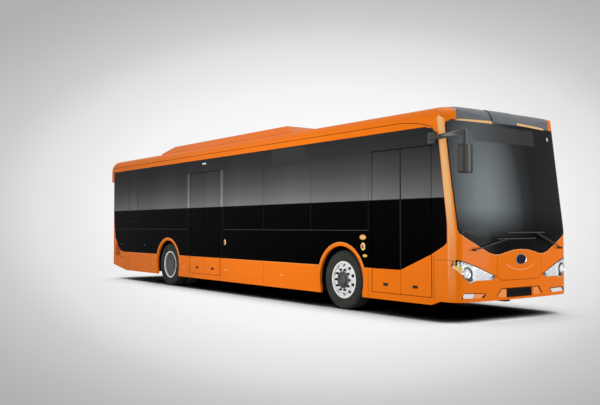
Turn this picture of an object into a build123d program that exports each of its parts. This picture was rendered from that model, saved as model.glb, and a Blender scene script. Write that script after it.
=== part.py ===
from build123d import *
import math
import os

# A twelve metre battery-electric city bus with a low floor, in millimetres.
# X points forward, Y to the bus's left, Z up, and the tyres stand on Z = 0.
# The doors are on the bus's right side, which is the side with negative Y.
# Stations along X are counted from the middle of the body; on saving, every
# piece moves back by origin_x, which centres the whole object with its mirror.

# Overall body
half_width = 1275
nose_x = 6000
rear_face_x = -5930
rear_cap_x = -6000
wall_t = 45
nose_bulge = 97
front_corner_r = 170
rear_corner_r = 90
rake_start_z = 1280
rake_per_mm = 0.125

# Heights above the road
skirt_z = 240
nose_bottom_z = 300
band_z = 700
belt_z = 1280
crown_z = 3062
roof_edge_z = crown_z - 32
groove_z = crown_z - 197
cap_joint_z = crown_z - 220
rail_z = crown_z - 302
roof_edge_y = half_width - 125

# Rounded shoulders over the front corners, seen along the corner's own direction:
# how far out and how high, measured from the outer corner and from the crown
shoulder_points = [(-95, -382), (-162, -142), (-400, 0)]

# Bounds that reach beyond the body, for cutting
side_out = half_width + 125
side_skin = half_width - 75
side_deep = half_width - 125
far_x = nose_x + 1000
front_out = nose_x + 100
rear_out = rear_cap_x - 100
top_out = crown_z + 240

# Front and rear ends of the outline seen from the side
departure_x = -5040
departure_z = 390
approach_x = 5440
approach_run = 170
cap_top_x = 5490
front_cap_joint_x = 5380
cap_half = 1060
mask_x = 5500
mask_z = 876
mask_top_x = 5250
rear_cap_bottom_z = rail_z - 260
rear_cap_joint_x = -5700
rear_cap_slope_z = rail_z + 30
rear_cap_slope_x = -5830
corner_post_x = -5865

# Axles and wheels
front_axle_x = 3455
rear_axle_x = -2730
tyre_r = 478
tyre_w = 275
bead_r = 286
bead_w = 212
flange_r = 301
flange_t = 9
wheel_face_y = half_width - 40
twin_pitch = 318
stud_circle_r = 167.5
stud_count = 10
hand_hole_r = 27
hand_hole_circle_r = 232
disc_t = 18
front_disc_w = 107
arch_r = 550
arch_lip_r = 612

# Steering and axle beams
kingpin_y = wheel_face_y - 250
kingpin_r = 30
pin_gap = 0.4
spindle_r = 40
hub_r = 105
beam_z = 160
beam_h = 70
beam_w = 110
beam_drop_y = wheel_face_y - 435
tow_w = 110
tow_t = 30
tow_eye_r = 21
front_tow_x = 5705
rear_tow_x = -5822
riser_t = 40
riser_gap = 7
motor_r = 185

# Doors on the right side
front_door_x = (4202, 5463)
mid_door_x = (-1678, -399)
door_head_z = rail_z - 270
door_bottom_z = 366
door_t = 40
door_inset = 3
door_edge_gap = 15
door_meet_gap = 8
door_top_gap = 6
shaft_behind_jamb = 30
shaft_from_leaf = 70
shaft_r = 20
arm_w = 36
arm_t = 12
arm_gap = 9
pivot_r = 8

# Floor
floor_z = 338
floor_t = 48
step_x = -3420
step_run = 330
step_t = 40
platform_z = 760
front_box_y = wheel_face_y - 635
rear_box_y = wheel_face_y - 675
box_half_length = 606
box_top_z = 1110
box_t = 20

# Side glazing: stations of the joints between its panes, from the rear
pane_t = 6
pane_gap = 4
sash_z = 1330
sash_top_z = rail_z - 110
pillar_w = 90
window_stations = [(-5862, -4923), (-4923, -4375), (-4375, -3644), (-3644, -1812), (-256, 1195), (1195, 2649),
                   (2649, 4126)]
left_only_stations = [(-1812, -256), (4126, 5560)]

# Windscreen and front lid
skin_t = 12
lid_gap = 6
lid_top_gap = 13
lid_axis_x = 5968
lid_axis_z = 930
hinge_r = 8
hinge_gap = 0.4
front_hinge_y = (485, 535)
lid_bottom_z = 575
lamp_rear_x = 5862

# Rear face
rear_window_y = half_width - 375
rear_window_z = (1480, rail_z - 430)
rear_lid_y = half_width - 345
rear_lid_z = (540, 1300)
rear_lid_top_gap = 16
rear_hinge_x = -5907
rear_hinge_z = 1258
rear_hinge_y = (rear_lid_y - 20, rear_lid_y + 25)
rear_lamp_y = (half_width - 255, half_width - 145)
rear_lamp_z = (860, 1330)

# Roof pod and batteries
pod_rear_x = -3600
pod_rear_top_x = -3180
pod_front_top_x = 1300
pod_front_x = 1960
pod_rise = 188
pod_top_z = crown_z + pod_rise
pod_half_top = 860
pod_half_low = 1010
pod_t = 30

# Mirrors
mirror_depth = 140
mirror_width = 190
mirror_height = 390
mirror_top_z = rail_z - 325
mirror_front_x = 6260
mirror_outer_y = half_width + 225
left_mirror_x = 5560
arm_r = 30
mirror_edge_r = 34

# Wipers
wiper_pivot_y = half_width - 300
wiper_pivot_z = 1018
wiper_blade = 850
wiper_arm_r = 9
wiper_hub_r = 16

# Joints between pieces that only meet
seat_gap = 0.3
sill_gap = 0.5


def box(x0, x1, y0, y1, z0, z1):
    """A block between two corners."""
    return Pos((x0 + x1) / 2, (y0 + y1) / 2, (z0 + z1) / 2) * Box(abs(x1 - x0), abs(y1 - y0), abs(z1 - z0))


def bar_y(x, z, r, y0, y1):
    """A round bar across the bus."""
    return Pos(x, (y0 + y1) / 2, z) * Rot(90, 0, 0) * Cylinder(r, abs(y1 - y0))


def bar_z(x, y, r, z0, z1):
    """An upright round bar."""
    return Pos(x, y, (z0 + z1) / 2) * Cylinder(r, abs(z1 - z0))


def bar_x(y, z, r, x0, x1):
    """A round bar along the bus."""
    return Pos((x0 + x1) / 2, y, z) * Rot(0, 90, 0) * Cylinder(r, abs(x1 - x0))


def rod(start, end, r):
    """A round bar between two points."""
    start, end = Vector(*start), Vector(*end)
    plane = Plane(origin=start, z_dir=end - start)
    return extrude(plane * Circle(r), (end - start).length)


def side_prism(points, y0, y1):
    """A shape drawn in the side view, given its width across the bus."""
    face = make_face(Polyline(*[(x, min(y0, y1), z) for x, z in points], close=True))
    return extrude(face, abs(y1 - y0), dir=(0, 1, 0))


def front_prism(points, x0, x1):
    """A shape drawn in the front view, given its length along the bus."""
    face = make_face(Polyline(*[(x0, y, z) for y, z in points], close=True))
    return extrude(face, x1 - x0, dir=(1, 0, 0))


# The body is one closed form, hollowed and then cut into its panels
def plan_face(inset):
    """The body seen from above: a curved nose and rounded corners."""
    half = half_width - inset
    front = nose_x - inset
    corner = front - nose_bulge
    rear = rear_face_x + inset
    edges = [
        Line((rear, -half), (corner, -half)),
        ThreePointArc((corner, -half), (front, 0), (corner, half)),
        Line((corner, half), (rear, half)),
        Line((rear, half), (rear, -half)),
    ]
    face = make_face(Curve() + edges)
    face = fillet(face.vertices().sort_by(Axis.X)[-2:], front_corner_r - inset)
    return fillet(face.vertices().sort_by(Axis.X)[:2], rear_corner_r - inset)


def section_face(inset, bottom, x):
    """The body seen from the front: upright sides and a curved roof."""
    half = half_width - inset
    edge_y = roof_edge_y - 0.6 * inset
    edge_z = roof_edge_z - 0.8 * inset
    crown = crown_z - inset
    mid_y = half - 0.32 * (half - edge_y)
    mid_z = groove_z + 0.62 * (edge_z - groove_z)
    edges = [
        Polyline((x, -half, groove_z), (x, -half, bottom), (x, half, bottom), (x, half, groove_z)),
        ThreePointArc((x, half, groove_z), (x, mid_y, mid_z), (x, edge_y, edge_z)),
        ThreePointArc((x, edge_y, edge_z), (x, 0, crown), (x, -edge_y, edge_z)),
        ThreePointArc((x, -edge_y, edge_z), (x, -mid_y, mid_z), (x, -half, groove_z)),
    ]
    return make_face(Curve() + edges)


def side_face(inset, bottom, y):
    """The body seen from the side, with the rounded top of the nose."""
    top = crown_z + 40
    far = far_x
    screen_x = nose_x - rake_per_mm * (cap_joint_z - rake_start_z) - inset
    mid_x = cap_top_x + 0.74 * (screen_x - cap_top_x)
    mid_z = cap_joint_z + 0.66 * (crown_z - inset - cap_joint_z)
    edges = [
        Polyline((cap_top_x, y, crown_z - inset), (cap_top_x, y, top), (-far, y, top), (-far, y, bottom),
                 (far, y, bottom), (far, y, cap_joint_z), (screen_x, y, cap_joint_z)),
        ThreePointArc((screen_x, y, cap_joint_z), (mid_x, y, mid_z), (cap_top_x, y, crown_z - inset)),
    ]
    return make_face(Curve() + edges)


def shoulder(inset, side):
    """All that lies inside the rounded top of one front corner."""
    corner_out = (nose_x + half_width - nose_bulge - 0.586 * front_corner_r) / math.sqrt(2)
    low, middle, high = [(corner_out + s - inset, crown_z + z - inset) for s, z in shoulder_points]
    plane = Plane(origin=(0, 0, 0), x_dir=(1, side, 0), z_dir=(side, -1, 0))
    reach = 2 * far_x
    edges = [
        ThreePointArc(low, middle, high),
        Polyline(high, (high[0], reach), (-reach, reach), (-reach, -reach), (reach, -reach),
                 (reach, low[1]), low),
    ]
    return extrude(plane * make_face(Curve() + edges), reach, both=True)


def body_block(inset, bottom):
    """The closed form of the body, drawn in from its outside by an inset."""
    plan = plan_face(inset)
    split_x = 4000
    straight = extrude(plan, top_out, dir=(0, 0, 1)) & box(-far_x, split_x, -side_out, side_out, 0, top_out)
    front_plan = plan & Pos(split_x + 1500, 0) * Rectangle(3000, 2 * side_out)
    low = extrude(front_plan, rake_start_z, dir=(0, 0, 1))
    run = (top_out - rake_start_z) * math.hypot(1, rake_per_mm)
    raked = extrude(Pos(0, 0, rake_start_z) * front_plan, run, dir=(-rake_per_mm, 0, 1))
    section = extrude(section_face(inset, bottom, -far_x), 2 * far_x, dir=(1, 0, 0))
    outline = extrude(side_face(inset, bottom, -side_out), 2 * side_out, dir=(0, 1, 0))
    block = (straight + low + raked) & section & outline
    for side in (1, -1):
        block = block & shoulder(inset, side)
    return block


def under_cuts():
    """What is cut off below the rising tail and below the nose."""
    tail = side_prism([(departure_x, 0), (departure_x, skirt_z), (rear_face_x - 100, departure_z),
                       (rear_face_x - 100, 0)], -side_out, side_out)
    nose = side_prism([(approach_x, 0), (approach_x, skirt_z), (approach_x + approach_run, nose_bottom_z),
                       (far_x, nose_bottom_z), (far_x, 0)], -side_out, side_out)
    return [tail, nose]


wheel_places = [(front_axle_x, 1), (front_axle_x, -1), (rear_axle_x, 1), (rear_axle_x, -1)]


def arch_cuts(radius):
    """Openings in the side walls over the wheels."""
    cuts = []
    for x, side in wheel_places:
        half = radius * 0.955
        cuts.append(bar_y(x, tyre_r, radius, side * side_deep, side * side_out))
        cuts.append(box(x - half, x + half, side * side_deep, side * side_out, 0, tyre_r - 0.29 * radius))
    return cuts


def doorway_cut(stations):
    """Part of the right wall that a pair of door leaves and its header take up."""
    return box(stations[0], stations[1], -side_out, -side_skin, 0, rail_z)


body_outer = body_block(0, skirt_z)
body_inner = body_block(wall_t, skirt_z - 10)
shell = body_outer - body_inner
for cut in under_cuts() + arch_cuts(arch_r):
    shell = shell - cut

# Window band in the side view, x and z of its corners from the rear
band_outline = [
    (corner_post_x, rail_z), (corner_post_x, 1740), (-5817, 1346), (-5752, 1074), (-5584, 858),
    (-5408, 733), (-5210, band_z), (4830, band_z), (5448, 947), (5690, 1072), (5745, 1120),
    (5746, 1393), (5604, rail_z - 240), (5556, rail_z - 105), (5480, rail_z - 35), (5330, rail_z),
]

# Windscreen in the front view, y and z from its middle to its top corner
screen_half = [
    (0, 1022), (150, 1016), (300, 990), (430, 958), (541, 950), (660, 975), (830, 1058),
    (half_width - 275, 1140), (half_width - 155, 1200), (half_width - 82, 1250), (half_width - 64, 1300),
    (half_width - 60, 1600), (half_width - 53, 1900), (half_width - 48, 2250), (half_width - 46, rail_z),
    (half_width - 60, cap_joint_z - 40), (half_width - 120, cap_joint_z),
]

# Front lid in the front view, y and z from its middle to its lower corner
lid_half = [(0, 1022), (150, 1016), (300, 990), (430, 958), (500, 950), (516, 640), (410, lid_bottom_z)]

# Headlamp and fog lamp in the front view, y and z of their corners
headlamp_outline = [
    (516, 635), (629, 589), (929, 592), (half_width - 247, 560), (half_width - 112, 670),
    (half_width - 13, 790), (half_width - 13, mask_z + 8), (half_width - 60, mask_z + 8), (927, 796),
]
fog_outline = [(727, 402), (773, 350), (half_width - 85, 350), (half_width - 180, 419)]

# Recess for the number plate
recess_half = [(430, 462), (520, 356), (460, 330)]

# Top edge of the bumper in the front view, y and z from its middle
bumper_half = [
    (410, lid_bottom_z), (516, 635), (629, 589), (929, 592), (half_width - 247, 560),
    (half_width - 112, 670), (half_width - 13, 790), (half_width - 13, mask_z), (side_out, mask_z),
]


def both_halves(half):
    """A front-view outline from its right and left halves."""
    start = 1 if half[0][0] == 0 else 0
    return half + [(-y, z) for y, z in reversed(half[start:])]


def lid_outline(side_gap, top_gap):
    """Outline of the front lid, drawn in by its gaps."""
    top = [(y, z - top_gap) for y, z in lid_half[:4]]
    corner = [(y - side_gap, z - top_gap) for y, z in lid_half[4:5]]
    low = [(y - side_gap, z + side_gap) for y, z in lid_half[5:]]
    return both_halves(top + corner + low)


def take(region):
    """Cut a panel out of what is left of the shell."""
    global shell
    panel = shell & region
    shell = shell - region
    return panel


# The lips of the arches belong to the skirts
lips = Part()
for x, side in wheel_places:
    lips = lips + bar_y(x, tyre_r, arch_lip_r, side * side_deep, side * side_out)

# Panels, in the order in which they are cut
rear_zone = box(-far_x, rear_cap_joint_x, -side_out, side_out, rail_z, top_out) \
    + box(-far_x, corner_post_x, -side_out, side_out, rear_cap_bottom_z, top_out)
take(rear_zone)
roof = take(box(-far_x, front_cap_joint_x, -side_out, side_out, rail_z, top_out))
windscreen = take(front_prism(both_halves(screen_half), 5300, front_out))
side_frame_right = take(side_prism(band_outline, -side_out, -side_skin) - lips)
side_frame_left = take(side_prism(band_outline, side_skin, side_out) - lips)
front_cap = take(box(5300, far_x, -cap_half, cap_half, cap_joint_z, top_out))
front_lid = shell & front_prism(lid_outline(lid_gap, lid_top_gap), 5700, front_out)
take(front_prism(lid_outline(0, 0), 5700, front_out))
headlamp_solids = []
fog_solids = []
for side in (1, -1):
    mirrored_points = [(side * y, z) for y, z in headlamp_outline]
    headlamp_solids += take(front_prism(mirrored_points, lamp_rear_x, front_out)).solids()
    mirrored_points = [(side * y, z) for y, z in fog_outline]
    fog_solids += take(front_prism(mirrored_points, 5600, front_out)).solids()
bumper_points = [(-y, z) for y, z in reversed(bumper_half)] + bumper_half
bumper = take(front_prism([(side_out, 0), (-side_out, 0)] + bumper_points, mask_x, front_out))
rear_panel = take(box(-far_x, corner_post_x, -side_out, side_out, 0, top_out))
front_mask = take(box(mask_x, far_x, -side_out, side_out, 0, top_out)
                  + box(mask_top_x, far_x, -side_out, side_out, rear_cap_bottom_z, top_out))
doorways = [front_door_x, mid_door_x]
header_solids = []
sill_solids = []
for stations in doorways:
    cut = doorway_cut(stations)
    header_solids.append(side_frame_right & cut & box(*stations, -side_out, -side_skin, door_head_z, rail_z))
    sill_solids.append(shell & box(stations[0] + sill_gap, stations[1] - sill_gap, -side_out, -side_skin,
                                   skirt_z, floor_z))
    side_frame_right = side_frame_right - cut
    shell = shell - cut
skirts = shell.solids() + sill_solids

# The windscreen is a thin pane at the outside of its wall, and the plate's recess is as deep
under_skin = body_block(skin_t, skirt_z - 10)
windscreen = windscreen - under_skin
bumper = bumper - (front_prism(both_halves(recess_half), 5700, front_out) - under_skin)

# Rear cap with its overhang behind the rear face
cap_outline = [
    (rear_cap_joint_x, rail_z), (corner_post_x, rail_z), (corner_post_x, rear_cap_bottom_z),
    (rear_cap_x, rear_cap_bottom_z), (rear_cap_x, rear_cap_slope_z), (rear_cap_slope_x, crown_z + 38),
    (rear_cap_joint_x, crown_z + 38),
]
rear_cap = extrude(section_face(0, skirt_z, -far_x), far_x, dir=(1, 0, 0)) \
    & side_prism(cap_outline, -side_out, side_out)
rear_cap = rear_cap - body_inner

# Rear face openings
rear_lid_hole = box(rear_out, corner_post_x, -rear_lid_y, rear_lid_y, rear_lid_z[0], rear_lid_z[1])
rear_lid = rear_panel & box(rear_out, corner_post_x, -rear_lid_y + lid_gap, rear_lid_y - lid_gap,
                            rear_lid_z[0] + lid_gap, rear_lid_z[1] - rear_lid_top_gap)
rear_panel = rear_panel - rear_lid_hole
rear_panel = rear_panel - box(rear_out, -5800, -rear_window_y + pillar_w / 2, rear_window_y - pillar_w / 2,
                              rear_window_z[0] + pillar_w / 2, rear_window_z[1] - pillar_w / 2)
rear_pane = box(rear_face_x, rear_face_x + pane_t, -rear_window_y, rear_window_y, *rear_window_z)
rear_panel = rear_panel - rear_pane

# Both lids turn on stub pins that sit in their neighbours
for side in (1, -1):
    front_ends = [side * y for y in front_hinge_y]
    rear_ends = [side * y for y in rear_hinge_y]
    front_lid = front_lid + bar_y(lid_axis_x, lid_axis_z, hinge_r, *front_ends)
    front_mask = front_mask - bar_y(lid_axis_x, lid_axis_z, hinge_r + hinge_gap, *front_ends)
    rear_lid = rear_lid + bar_y(rear_hinge_x, rear_hinge_z, hinge_r, *rear_ends)
    rear_panel = rear_panel - bar_y(rear_hinge_x, rear_hinge_z, hinge_r + hinge_gap, *rear_ends)
rear_lamp_solids = []
for side in (1, -1):
    lamp = box(rear_out, -5800, side * rear_lamp_y[0], side * rear_lamp_y[1], *rear_lamp_z)
    rear_lamp_solids += (rear_panel & lamp).solids()
    rear_panel = rear_panel - lamp


def glaze(frame, stations, side):
    """Cut window openings and pane seats in a side frame and give the panes."""
    panes = []
    band = side_prism(band_outline, side * side_skin, side * side_out)
    for x0, x1 in stations:
        pane = box(x0 + pane_gap / 2, x1 - pane_gap / 2, side * (half_width - pane_t), side * half_width,
                   belt_z, rail_z - pane_gap) & band
        opening = [(x0 + pillar_w / 2, sash_z), (x1 - pillar_w / 2, sash_z), (x1 - pillar_w / 2, sash_top_z),
                   (x0 + pillar_w / 2, sash_top_z)]
        if x1 > 5400:
            opening[2] = (x1 - pillar_w / 2 - 160, sash_top_z)
        frame = frame - side_prism(opening, side * side_deep, side * side_out) - pane
        panes.append(pane)
    return frame, panes


side_frame_right, panes_right = glaze(side_frame_right, window_stations, -1)
side_frame_left, panes_left = glaze(side_frame_left, window_stations + left_only_stations, 1)
side_glass = panes_right + panes_left + [rear_pane]

# Roof pod: sloping ends and leaning sides over the batteries
pod_foot_z = roof_edge_z - 80
pod_side = [(pod_rear_x, pod_foot_z), (pod_rear_x, crown_z + 28), (pod_rear_top_x, pod_top_z),
            (pod_front_top_x, pod_top_z), (pod_front_x, roof_edge_z - 30), (pod_front_x, pod_foot_z)]
pod_half = [(pod_half_top - 60, pod_top_z), (pod_half_top, pod_top_z - 15), (pod_half_low, crown_z + 18),
            (pod_half_low, pod_foot_z)]
pod_block = side_prism(pod_side, -side_out, side_out) \
    & front_prism(both_halves(pod_half), pod_rear_x - 400, pod_front_x + 540)
pod_hollow = side_prism([(pod_rear_x + 60, pod_foot_z - 50), (pod_rear_top_x, pod_top_z - pod_t),
                         (pod_front_top_x, pod_top_z - pod_t), (pod_front_x - 80, pod_foot_z - 50)],
                        -pod_half_top + pod_t, pod_half_top - pod_t)
roof_pod = pod_block - body_outer - pod_hollow
batteries = box(-2900, 900, -700, 700, crown_z, pod_top_z - pod_t - 10) - body_outer


# Floor, door wells, steps and wheel boxes
inner_y = half_width - wall_t
floor_bottom = floor_z - floor_t
floor_front_x = 5640
floor_rear_x = -5862
floor = box(step_x, floor_front_x, -inner_y, inner_y, floor_bottom, floor_z) & body_inner
step_z = (floor_z + platform_z) / 2
platform_bottom = platform_z - floor_t
rear_platform = box(step_x - step_run, step_x - seat_gap, -inner_y, inner_y, floor_bottom, step_z)
rear_platform = rear_platform + box(step_x - step_run - step_t, step_x - step_run, -inner_y, inner_y,
                                    floor_bottom, platform_z)
rear_platform = rear_platform + box(floor_rear_x, step_x - step_run, -inner_y, inner_y,
                                    platform_bottom, platform_z)
rear_platform = rear_platform & body_inner
wheel_box_solids = []
for x, side in wheel_places:
    inner_wall_y = front_box_y if x == front_axle_x else rear_box_y
    outside = box(x - box_half_length, x + box_half_length, side * inner_wall_y, side * inner_y,
                  floor_bottom, box_top_z)
    hollow = box(x - box_half_length + box_t, x + box_half_length - box_t, side * (inner_wall_y + box_t),
                 side * inner_y, floor_bottom, box_top_z - box_t)
    wheel_box_solids.append(outside - hollow)
    floor = floor - outside
    rear_platform = rear_platform - outside

# Chassis rails and cross-members under the floor
rail_y = (half_width - 845, half_width - 755)
rail_drop = 50
rail_z_low = floor_bottom - rail_drop
tail_rail_z = (400, 460)
cross_y = half_width - 125
cross_x = (-4100, -1900, -900, 100, 1100, 2100, 4500, 5250)
tail_x = (-5000, -4920)
tail_end_x = -5780
tail_top_z = tail_rail_z[1]
member_w = 80
chassis = Part()
for side in (1, -1):
    rail_sides = (side * rail_y[0], side * rail_y[1])
    chassis = chassis + box(tail_x[1] + seat_gap, 5400, *rail_sides, rail_z_low, floor_bottom)
    riser = box(*tail_x, *rail_sides, rail_z_low, platform_bottom)
    tail_rail = box(tail_end_x, tail_x[0], *rail_sides, *tail_rail_z)
    tail_post = box(-5580, -5500, *rail_sides, tail_rail_z[0], platform_bottom)
    rear_platform = rear_platform + riser + tail_rail + tail_post
for x in cross_x:
    chassis = chassis + box(x - member_w / 2, x + member_w / 2, -cross_y, cross_y,
                            rail_z_low + 10, floor_bottom)
chassis = chassis + box(5400 - member_w, 5400, -rail_y[1], rail_y[1], rail_z_low, floor_bottom)
rear_platform = rear_platform + box(tail_end_x, tail_end_x + member_w, -rail_y[1], rail_y[1], *tail_rail_z)

# Towing tongues, each with an upright eye
front_tongue = box(5400, 5760, -tow_w / 2, tow_w / 2, rail_z_low, rail_z_low + tow_t)
rear_tongue = box(rear_tow_x - 38, tail_end_x, -tow_w / 2, tow_w / 2, tail_rail_z[0], tail_rail_z[0] + tow_t)
chassis = chassis + front_tongue - bar_z(front_tow_x, 0, tow_eye_r, rail_z_low - 10, floor_bottom)
rear_platform = rear_platform + rear_tongue - bar_z(rear_tow_x, 0, tow_eye_r, tail_rail_z[0] - 10, tail_top_z)


# Wheels: tyres and dished rims turned about the axle
def turned(profile, x, y, side):
    """Turn a profile of (radius, width) points about an axle; width grows outward."""
    face = make_face(Polyline(*[(r, 0, w) for r, w in profile], close=True))
    ring = revolve(face, Axis.Z, 360)
    turn = Rot(-90, 0, 0) if side > 0 else Rot(90, 0, 0)
    return Pos(x, y, tyre_r) * turn * ring


half_tyre = tyre_w / 2
half_bead = bead_w / 2
tyre_side = [(bead_r, half_bead), (flange_r + 1, half_bead), (flange_r + 12, half_tyre - 16),
             (tyre_r - 108, half_tyre), (tyre_r - 53, half_tyre - 3), (tyre_r - 15, half_tyre - 20),
             (tyre_r, half_tyre - 42)]
tyre_profile = tyre_side + [(r, -w) for r, w in reversed(tyre_side)]


def rim_profile(disc_w, cone_w):
    """A rim's barrel and disc; disc_w is the disc's outer face."""
    half = half_bead
    return [
        (bead_r, half), (flange_r, half), (flange_r, half + flange_t), (bead_r - 12, half + flange_t),
        (bead_r - 14, cone_w + 20), (212, disc_w), (70, disc_w), (70, disc_w - disc_t),
        (204, disc_w - disc_t), (bead_r - 16, cone_w - 6), (bead_r - 12, -half - flange_t),
        (flange_r, -half - flange_t), (flange_r, -half), (bead_r, -half),
    ]


def stud_ring(x, y, side, disc_w):
    """Studs with their nuts on the disc's outer face."""
    studs = []
    face_y = y + side * disc_w
    for number in range(stud_count):
        angle = 2 * math.pi * number / stud_count
        sx = x + stud_circle_r * math.cos(angle)
        sz = tyre_r + stud_circle_r * math.sin(angle)
        studs.append(bar_y(sx, sz, 15, face_y - side * 2, face_y + side * 26))
    return studs


def hand_holes(x, y, side, w0, w1):
    """Round hand holes through the disc, between the studs' angles."""
    holes = []
    for number in range(stud_count):
        angle = 2 * math.pi * (number + 0.5) / stud_count
        hx = x + hand_hole_circle_r * math.cos(angle)
        hz = tyre_r + hand_hole_circle_r * math.sin(angle)
        holes.append(bar_y(hx, hz, hand_hole_r, y + side * w0, y + side * w1))
    return holes


def rim(x, y, side, disc_w, cone_w):
    """One rim with its hand holes."""
    solid = turned(rim_profile(disc_w, cone_w), x, y, side)
    for hole in hand_holes(x, y, side, disc_w - 90, disc_w + 60):
        solid = solid - hole
    return solid


front_wheel_y = wheel_face_y - half_tyre
inner_wheel_y = front_wheel_y - twin_pitch


def front_wheel(side):
    """Tyre, and rim with hub, of a steered wheel."""
    y = side * front_wheel_y
    tyre = turned(tyre_profile, front_axle_x, y, side)
    solid = rim(front_axle_x, y, side, front_disc_w + disc_t, 60)
    hub = bar_y(front_axle_x, tyre_r, hub_r, y + side * 8, y + side * (front_disc_w + disc_t + 8))
    cap = bar_y(front_axle_x, tyre_r, 78, y + side * (front_disc_w + disc_t), y + side * (front_disc_w + 45))
    bore = bar_y(front_axle_x, tyre_r, spindle_r + pin_gap, y, y + side * (front_disc_w - 20))
    solid = solid + hub + cap - bore
    for stud in stud_ring(front_axle_x, y, side, front_disc_w + disc_t):
        solid = solid + stud
    return tyre, solid


def rear_wheel(side):
    """Tyres, and rims with hub, of a twin wheel."""
    y = side * front_wheel_y
    inner = side * inner_wheel_y
    tyres = [turned(tyre_profile, rear_axle_x, y, side), turned(tyre_profile, rear_axle_x, inner, -side)]
    meet = -twin_pitch / 2
    outer_rim = turned(dished_profile(), rear_axle_x, y, side)
    inner_rim = turned(dished_profile(), rear_axle_x, inner, -side)
    for hole in hand_holes(rear_axle_x, y, side, meet - 30, meet + 40):
        outer_rim = outer_rim - hole
        inner_rim = inner_rim - hole
    hub_y = y + side * meet
    hub = bar_y(rear_axle_x, tyre_r, 142, hub_y - side * 30, hub_y + side * 120)
    bore = bar_y(rear_axle_x, tyre_r, spindle_r + 20 + pin_gap, hub_y - side * 40, hub_y + side * 90)
    solid = outer_rim + inner_rim + hub - bore
    for stud in stud_ring(rear_axle_x, y, side, meet + disc_t):
        solid = solid + stud
    return tyres, solid


def dished_profile():
    """A twin wheel's rim: its disc stands inboard of the barrel."""
    half = half_bead
    mount = -twin_pitch / 2
    return [
        (bead_r, half), (flange_r, half), (flange_r, half + flange_t), (bead_r - 12, half + flange_t),
        (bead_r - 16, -58), (222, mount + disc_t + 12), (200, mount + disc_t), (135, mount + disc_t),
        (135, mount), (212, mount), (240, mount + disc_t), (bead_r - 14, -half - flange_t),
        (flange_r, -half - flange_t), (flange_r, -half), (bead_r, -half),
    ]


# Front axle with its eyes, and the knuckles that turn in them
eye_z = (tyre_r - 48, tyre_r + 48)
yoke_gap = 5


def front_axle_beam():
    beam = box(front_axle_x - beam_w / 2, front_axle_x + beam_w / 2, -beam_drop_y, beam_drop_y,
               beam_z, beam_z + beam_h)
    for side in (1, -1):
        web = box(front_axle_x - 45, front_axle_x + 45, side * (beam_drop_y - 60), side * (beam_drop_y + 20),
                  beam_z, eye_z[1])
        neck = box(front_axle_x - 45, front_axle_x + 45, side * (beam_drop_y - 60), side * kingpin_y,
                   eye_z[0], eye_z[1])
        beam = beam + web + neck + bar_z(front_axle_x, side * kingpin_y, 52, *eye_z)
        beam = beam - bar_z(front_axle_x, side * kingpin_y, kingpin_r + pin_gap, 0, 900)
        beam = beam + box(front_axle_x - 60, front_axle_x + 60, side * rail_y[0], side * rail_y[1],
                          beam_z + beam_h, floor_bottom - rail_drop)
    return beam


def knuckle(side):
    """Kingpin, yoke and spindle of a steered wheel."""
    low = eye_z[0] - yoke_gap
    high = eye_z[1] + yoke_gap
    back_y = side * (kingpin_y + 60)
    plate_y = side * (kingpin_y + 84)
    body = bar_z(front_axle_x, side * kingpin_y, kingpin_r, low - 45, high + 45)
    body = body + box(front_axle_x - 45, front_axle_x + 45, side * (kingpin_y - 45), plate_y, low - 45, low)
    body = body + box(front_axle_x - 45, front_axle_x + 45, side * (kingpin_y - 45), plate_y, high, high + 45)
    body = body + box(front_axle_x - 60, front_axle_x + 60, back_y, plate_y, low - 45, high + 45)
    spindle_end = side * (front_wheel_y + front_disc_w - 30)
    return body + bar_y(front_axle_x, tyre_r, spindle_r, plate_y, spindle_end)


def rear_axle_beam():
    """Low beam, risers beside the inner tyres and a drive motor in each wheel."""
    riser_y = inner_wheel_y - tyre_w / 2 - riser_gap
    beam = box(rear_axle_x - 70, rear_axle_x + 70, -riser_y, riser_y, beam_z, beam_z + beam_h)
    for side in (1, -1):
        hub_y = side * (front_wheel_y - twin_pitch / 2)
        beam = beam + box(rear_axle_x - 110, rear_axle_x + 110, side * (riser_y - riser_t), side * riser_y,
                          beam_z, tyre_r + 120)
        beam = beam + bar_y(rear_axle_x, tyre_r, motor_r, side * riser_y, hub_y - side * 60)
        beam = beam + bar_y(rear_axle_x, tyre_r, spindle_r + 20, side * riser_y, hub_y + side * 70)
        beam = beam + box(rear_axle_x - 60, rear_axle_x + 60, side * rail_y[0], side * rail_y[1],
                          beam_z + beam_h, floor_bottom - rail_drop)
    return beam


# Doors: each leaf hangs at its middle from a turning post behind the jamb
leaf_mid_y = -(half_width - door_inset - door_t / 2)
post_y = leaf_mid_y + shaft_from_leaf
low_arm_z = door_bottom_z - arm_gap - arm_t
leaf_top_z = door_head_z - door_top_gap
high_arm_z = leaf_top_z + arm_gap + 4
header_z = high_arm_z + arm_t + 14


def leaf_length(stations):
    return (stations[1] - stations[0] - 2 * door_edge_gap - door_meet_gap) / 2


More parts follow.
